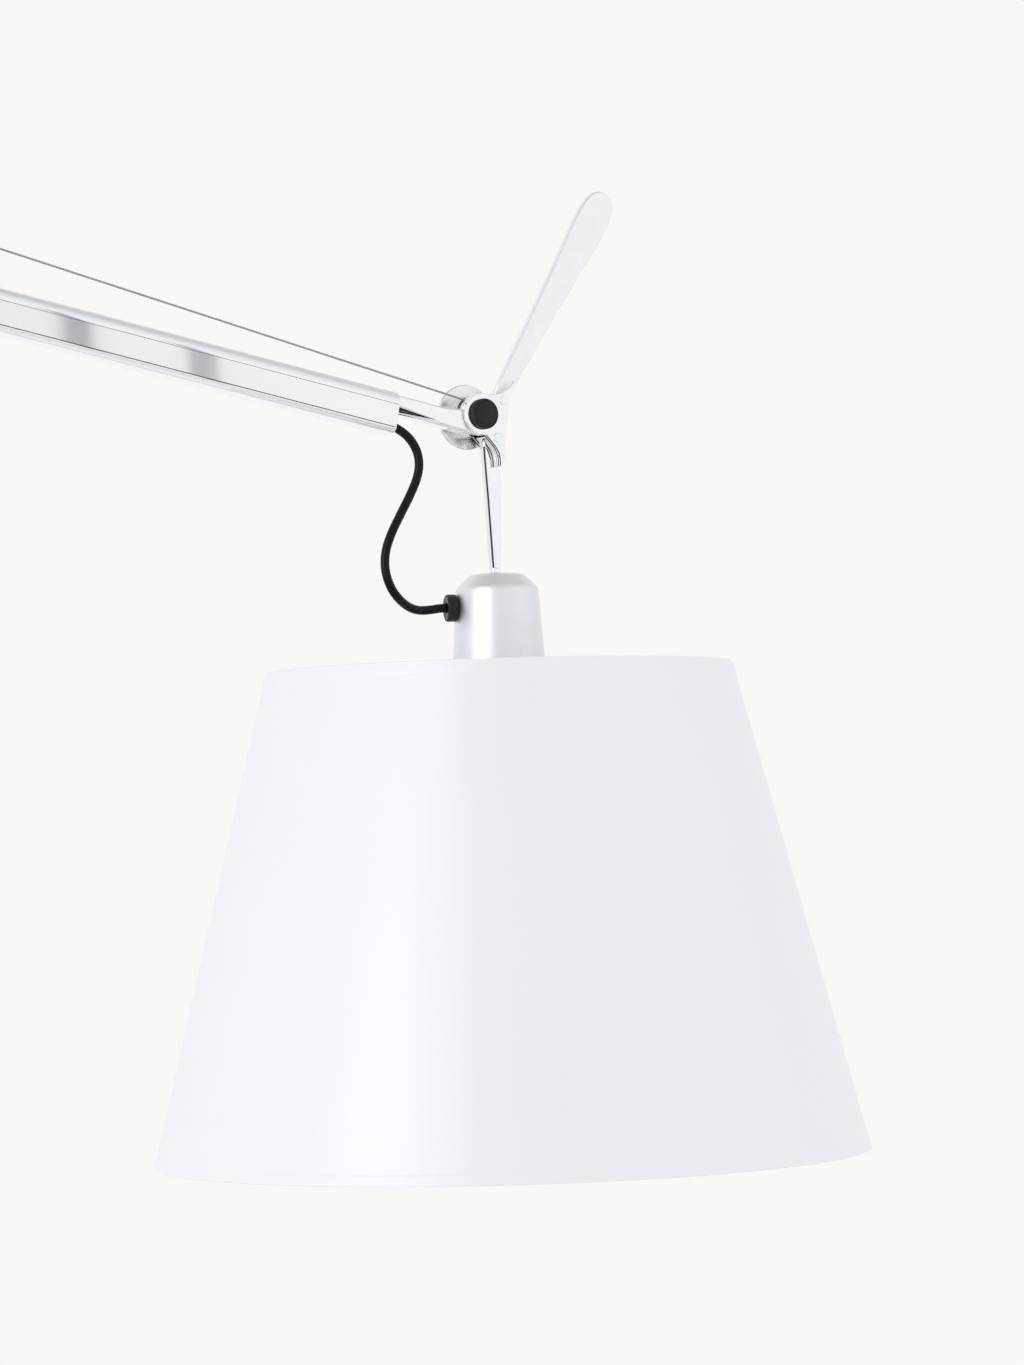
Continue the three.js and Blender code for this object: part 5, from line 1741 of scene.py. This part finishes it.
            wire = turned(name, profile.tolist(), Along.Z, self.place, rounding=0.2, sides=144)
            mount(wire, self.body, STEEL, Slot.STEEL, *nodes)
        nut = turned("fitter_nut", [[20.4, hub_foot - 6.3], [24.5, hub_foot - 6.3],
                                    [24.5, hub_foot - 0.3], [20.4, hub_foot - 0.3]], Along.Z,
                     self.place, rounding=0.7)
        mount(nut, self.body, HOLDER_WHITE, Slot.HOLDER, "shade_ring_nut")

    def shade(self) -> None:
        """The cloth cone: straight sides, turned hems at both rims and a lapped seam at the back.

        The cloth stands out by a lift within a hem of either rim and on the seam, with each step
        rounded over a millimetre or two, and the hems' outsides lie on the cone.
        """
        height, drop = self.shade_height, self.shade_drop
        down = np.concatenate([np.linspace(0, 9, 19), np.linspace(12, height - 12, 40),
                               np.linspace(height - 9, height, 19)])
        angles = np.linspace(0, 2 * np.pi, 288, endpoint=False)
        hem = (1 - np.clip((down - 5.2) / 1.4, 0, 1)) + np.clip((down - height + 6.4) / 1.4, 0, 1)
        past = np.angle(np.exp(1j * (angles - math.radians(self.seam_heading))))
        seam = np.exp(-(past / 0.035) ** 6)
        lift = self.hem_lift * hem[:, None] + self.seam_lift * seam[None, :]
        z = -drop - down
        outer = self.shade_top + (self.shade_foot - self.shade_top) * down / height
        reach = outer[:, None] + lift - self.hem_lift
        outside = laid(reach * np.cos(angles), reach * np.sin(angles),
                       z[:, None] + 0 * angles, Along.Z)
        inner = (outer - self.shade_thick)[:, None]
        inside = laid(inner * np.cos(angles), inner * np.sin(angles), z[:, None] + 0 * angles,
                      Along.Z)
        soft_top = (inside[:1] + outside[:1]) / 2
        soft_foot = (inside[-1:] + outside[-1:]) / 2
        soft_top[..., 2] += 0.35
        soft_foot[..., 2] -= 0.35
        grid = np.concatenate([soft_top, outside, soft_foot, inside[::-1]])
        cloth = grid_piece("shade_cloth", self.place.to_lamp(grid), Ends.LOOP)
        mount(cloth, self.body, SHADE_CLOTH, Slot.CLOTH, "shade")


@dataclass
class Flex:
    """The black flex from the arm's open end to the gland on the cup."""

    pivot: Point
    radius: float = 2.6
    length: float = 0.189

    def route(self) -> np.ndarray:
        """The flex's centreline in metres: out of the tube, down in an S and up into the gland."""
        points = np.array([
            [-86, 0, -4.6], [-72, 0, -6.8], [-61.1, 0, -8.7], [-52.8, 0, -11.3], [-45, 0, -16.4],
            [-39.8, 0.2, -23.7], [-38.3, 0.4, -31.4], [-39.6, 0.7, -39], [-44, 1, -49.1],
            [-49.7, 1.4, -59.8], [-55.6, 1.9, -71.4], [-58.9, 2.5, -81], [-59.3, 3.3, -89.1],
            [-57.6, 4.1, -96.5], [-53.4, 5.4, -103.7], [-46.6, 7.5, -109.6], [-38.4, 10.2, -113.4],
            [-31, 12, -114.6], [-23.2, 12, -114], [-18, 10.4, -113.1], [-12.7, 8.7, -112.8],
            [-8, 7.2, -112.7]])
        return Placement(self.pivot).to_lamp(spline(points))

    def build(self) -> None:
        """Makes the flex, and says how long it is."""
        path = self.route()
        real = float(np.linalg.norm(np.diff(path, axis=0), axis=1).sum())
        LOG.info("flex length %.4f m", real)
        flex = tube("black_flex_lead", path, self.radius * MM, (0, 1, 0), sides=24)
        dress(flex, FLEX_SKIN, ["flex"])
        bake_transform(flex)


def corners() -> list[list[float]]:
    """The whole object's box, as plain lists."""
    return [[float(v) for v in corner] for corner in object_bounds()]


def main() -> None:
    """Builds the lamp around its frame, piece by piece."""
    logging.basicConfig(level=logging.INFO, format="%(name)s %(message)s")
    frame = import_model()
    pivots = Pivots.of(frame)
    Studio(pivots).build()
    Flex(pivots.wrist).build()
    lower = BalancedArm("lower_arm", pivots.shoulder, 115.0)
    upper = BalancedArm("upper_arm", pivots.elbow, UPPER_ANGLE)
    turret_horn = Turret(pivots).build()
    lower_horn = lower.build(frame, 90.0)
    upper.build(frame)
    x, z = turret_horn.tip_centre()
    lower.run_cable(Placement(pivots.shoulder).at((x, 0, z)), "turret")
    x, z = lower_horn.tip_centre()
    upper.run_cable(lower.place.at((lower.reach + x, 0, lower.rise + z)), "lower_arm")
    WeightedBase().build(frame)
    JointHardware("shoulder", pivots.shoulder, "lower_arm", "shoulder_knob").build()
    JointHardware("elbow", pivots.elbow, "upper_arm", "elbow_knob").build()
    JointHardware("wrist", pivots.wrist, "head", "wrist_knob").build()
    HeadBracket(pivots.wrist).build()
    ShadeHead(pivots.wrist).build()


if __name__ == "__main__":
    main()
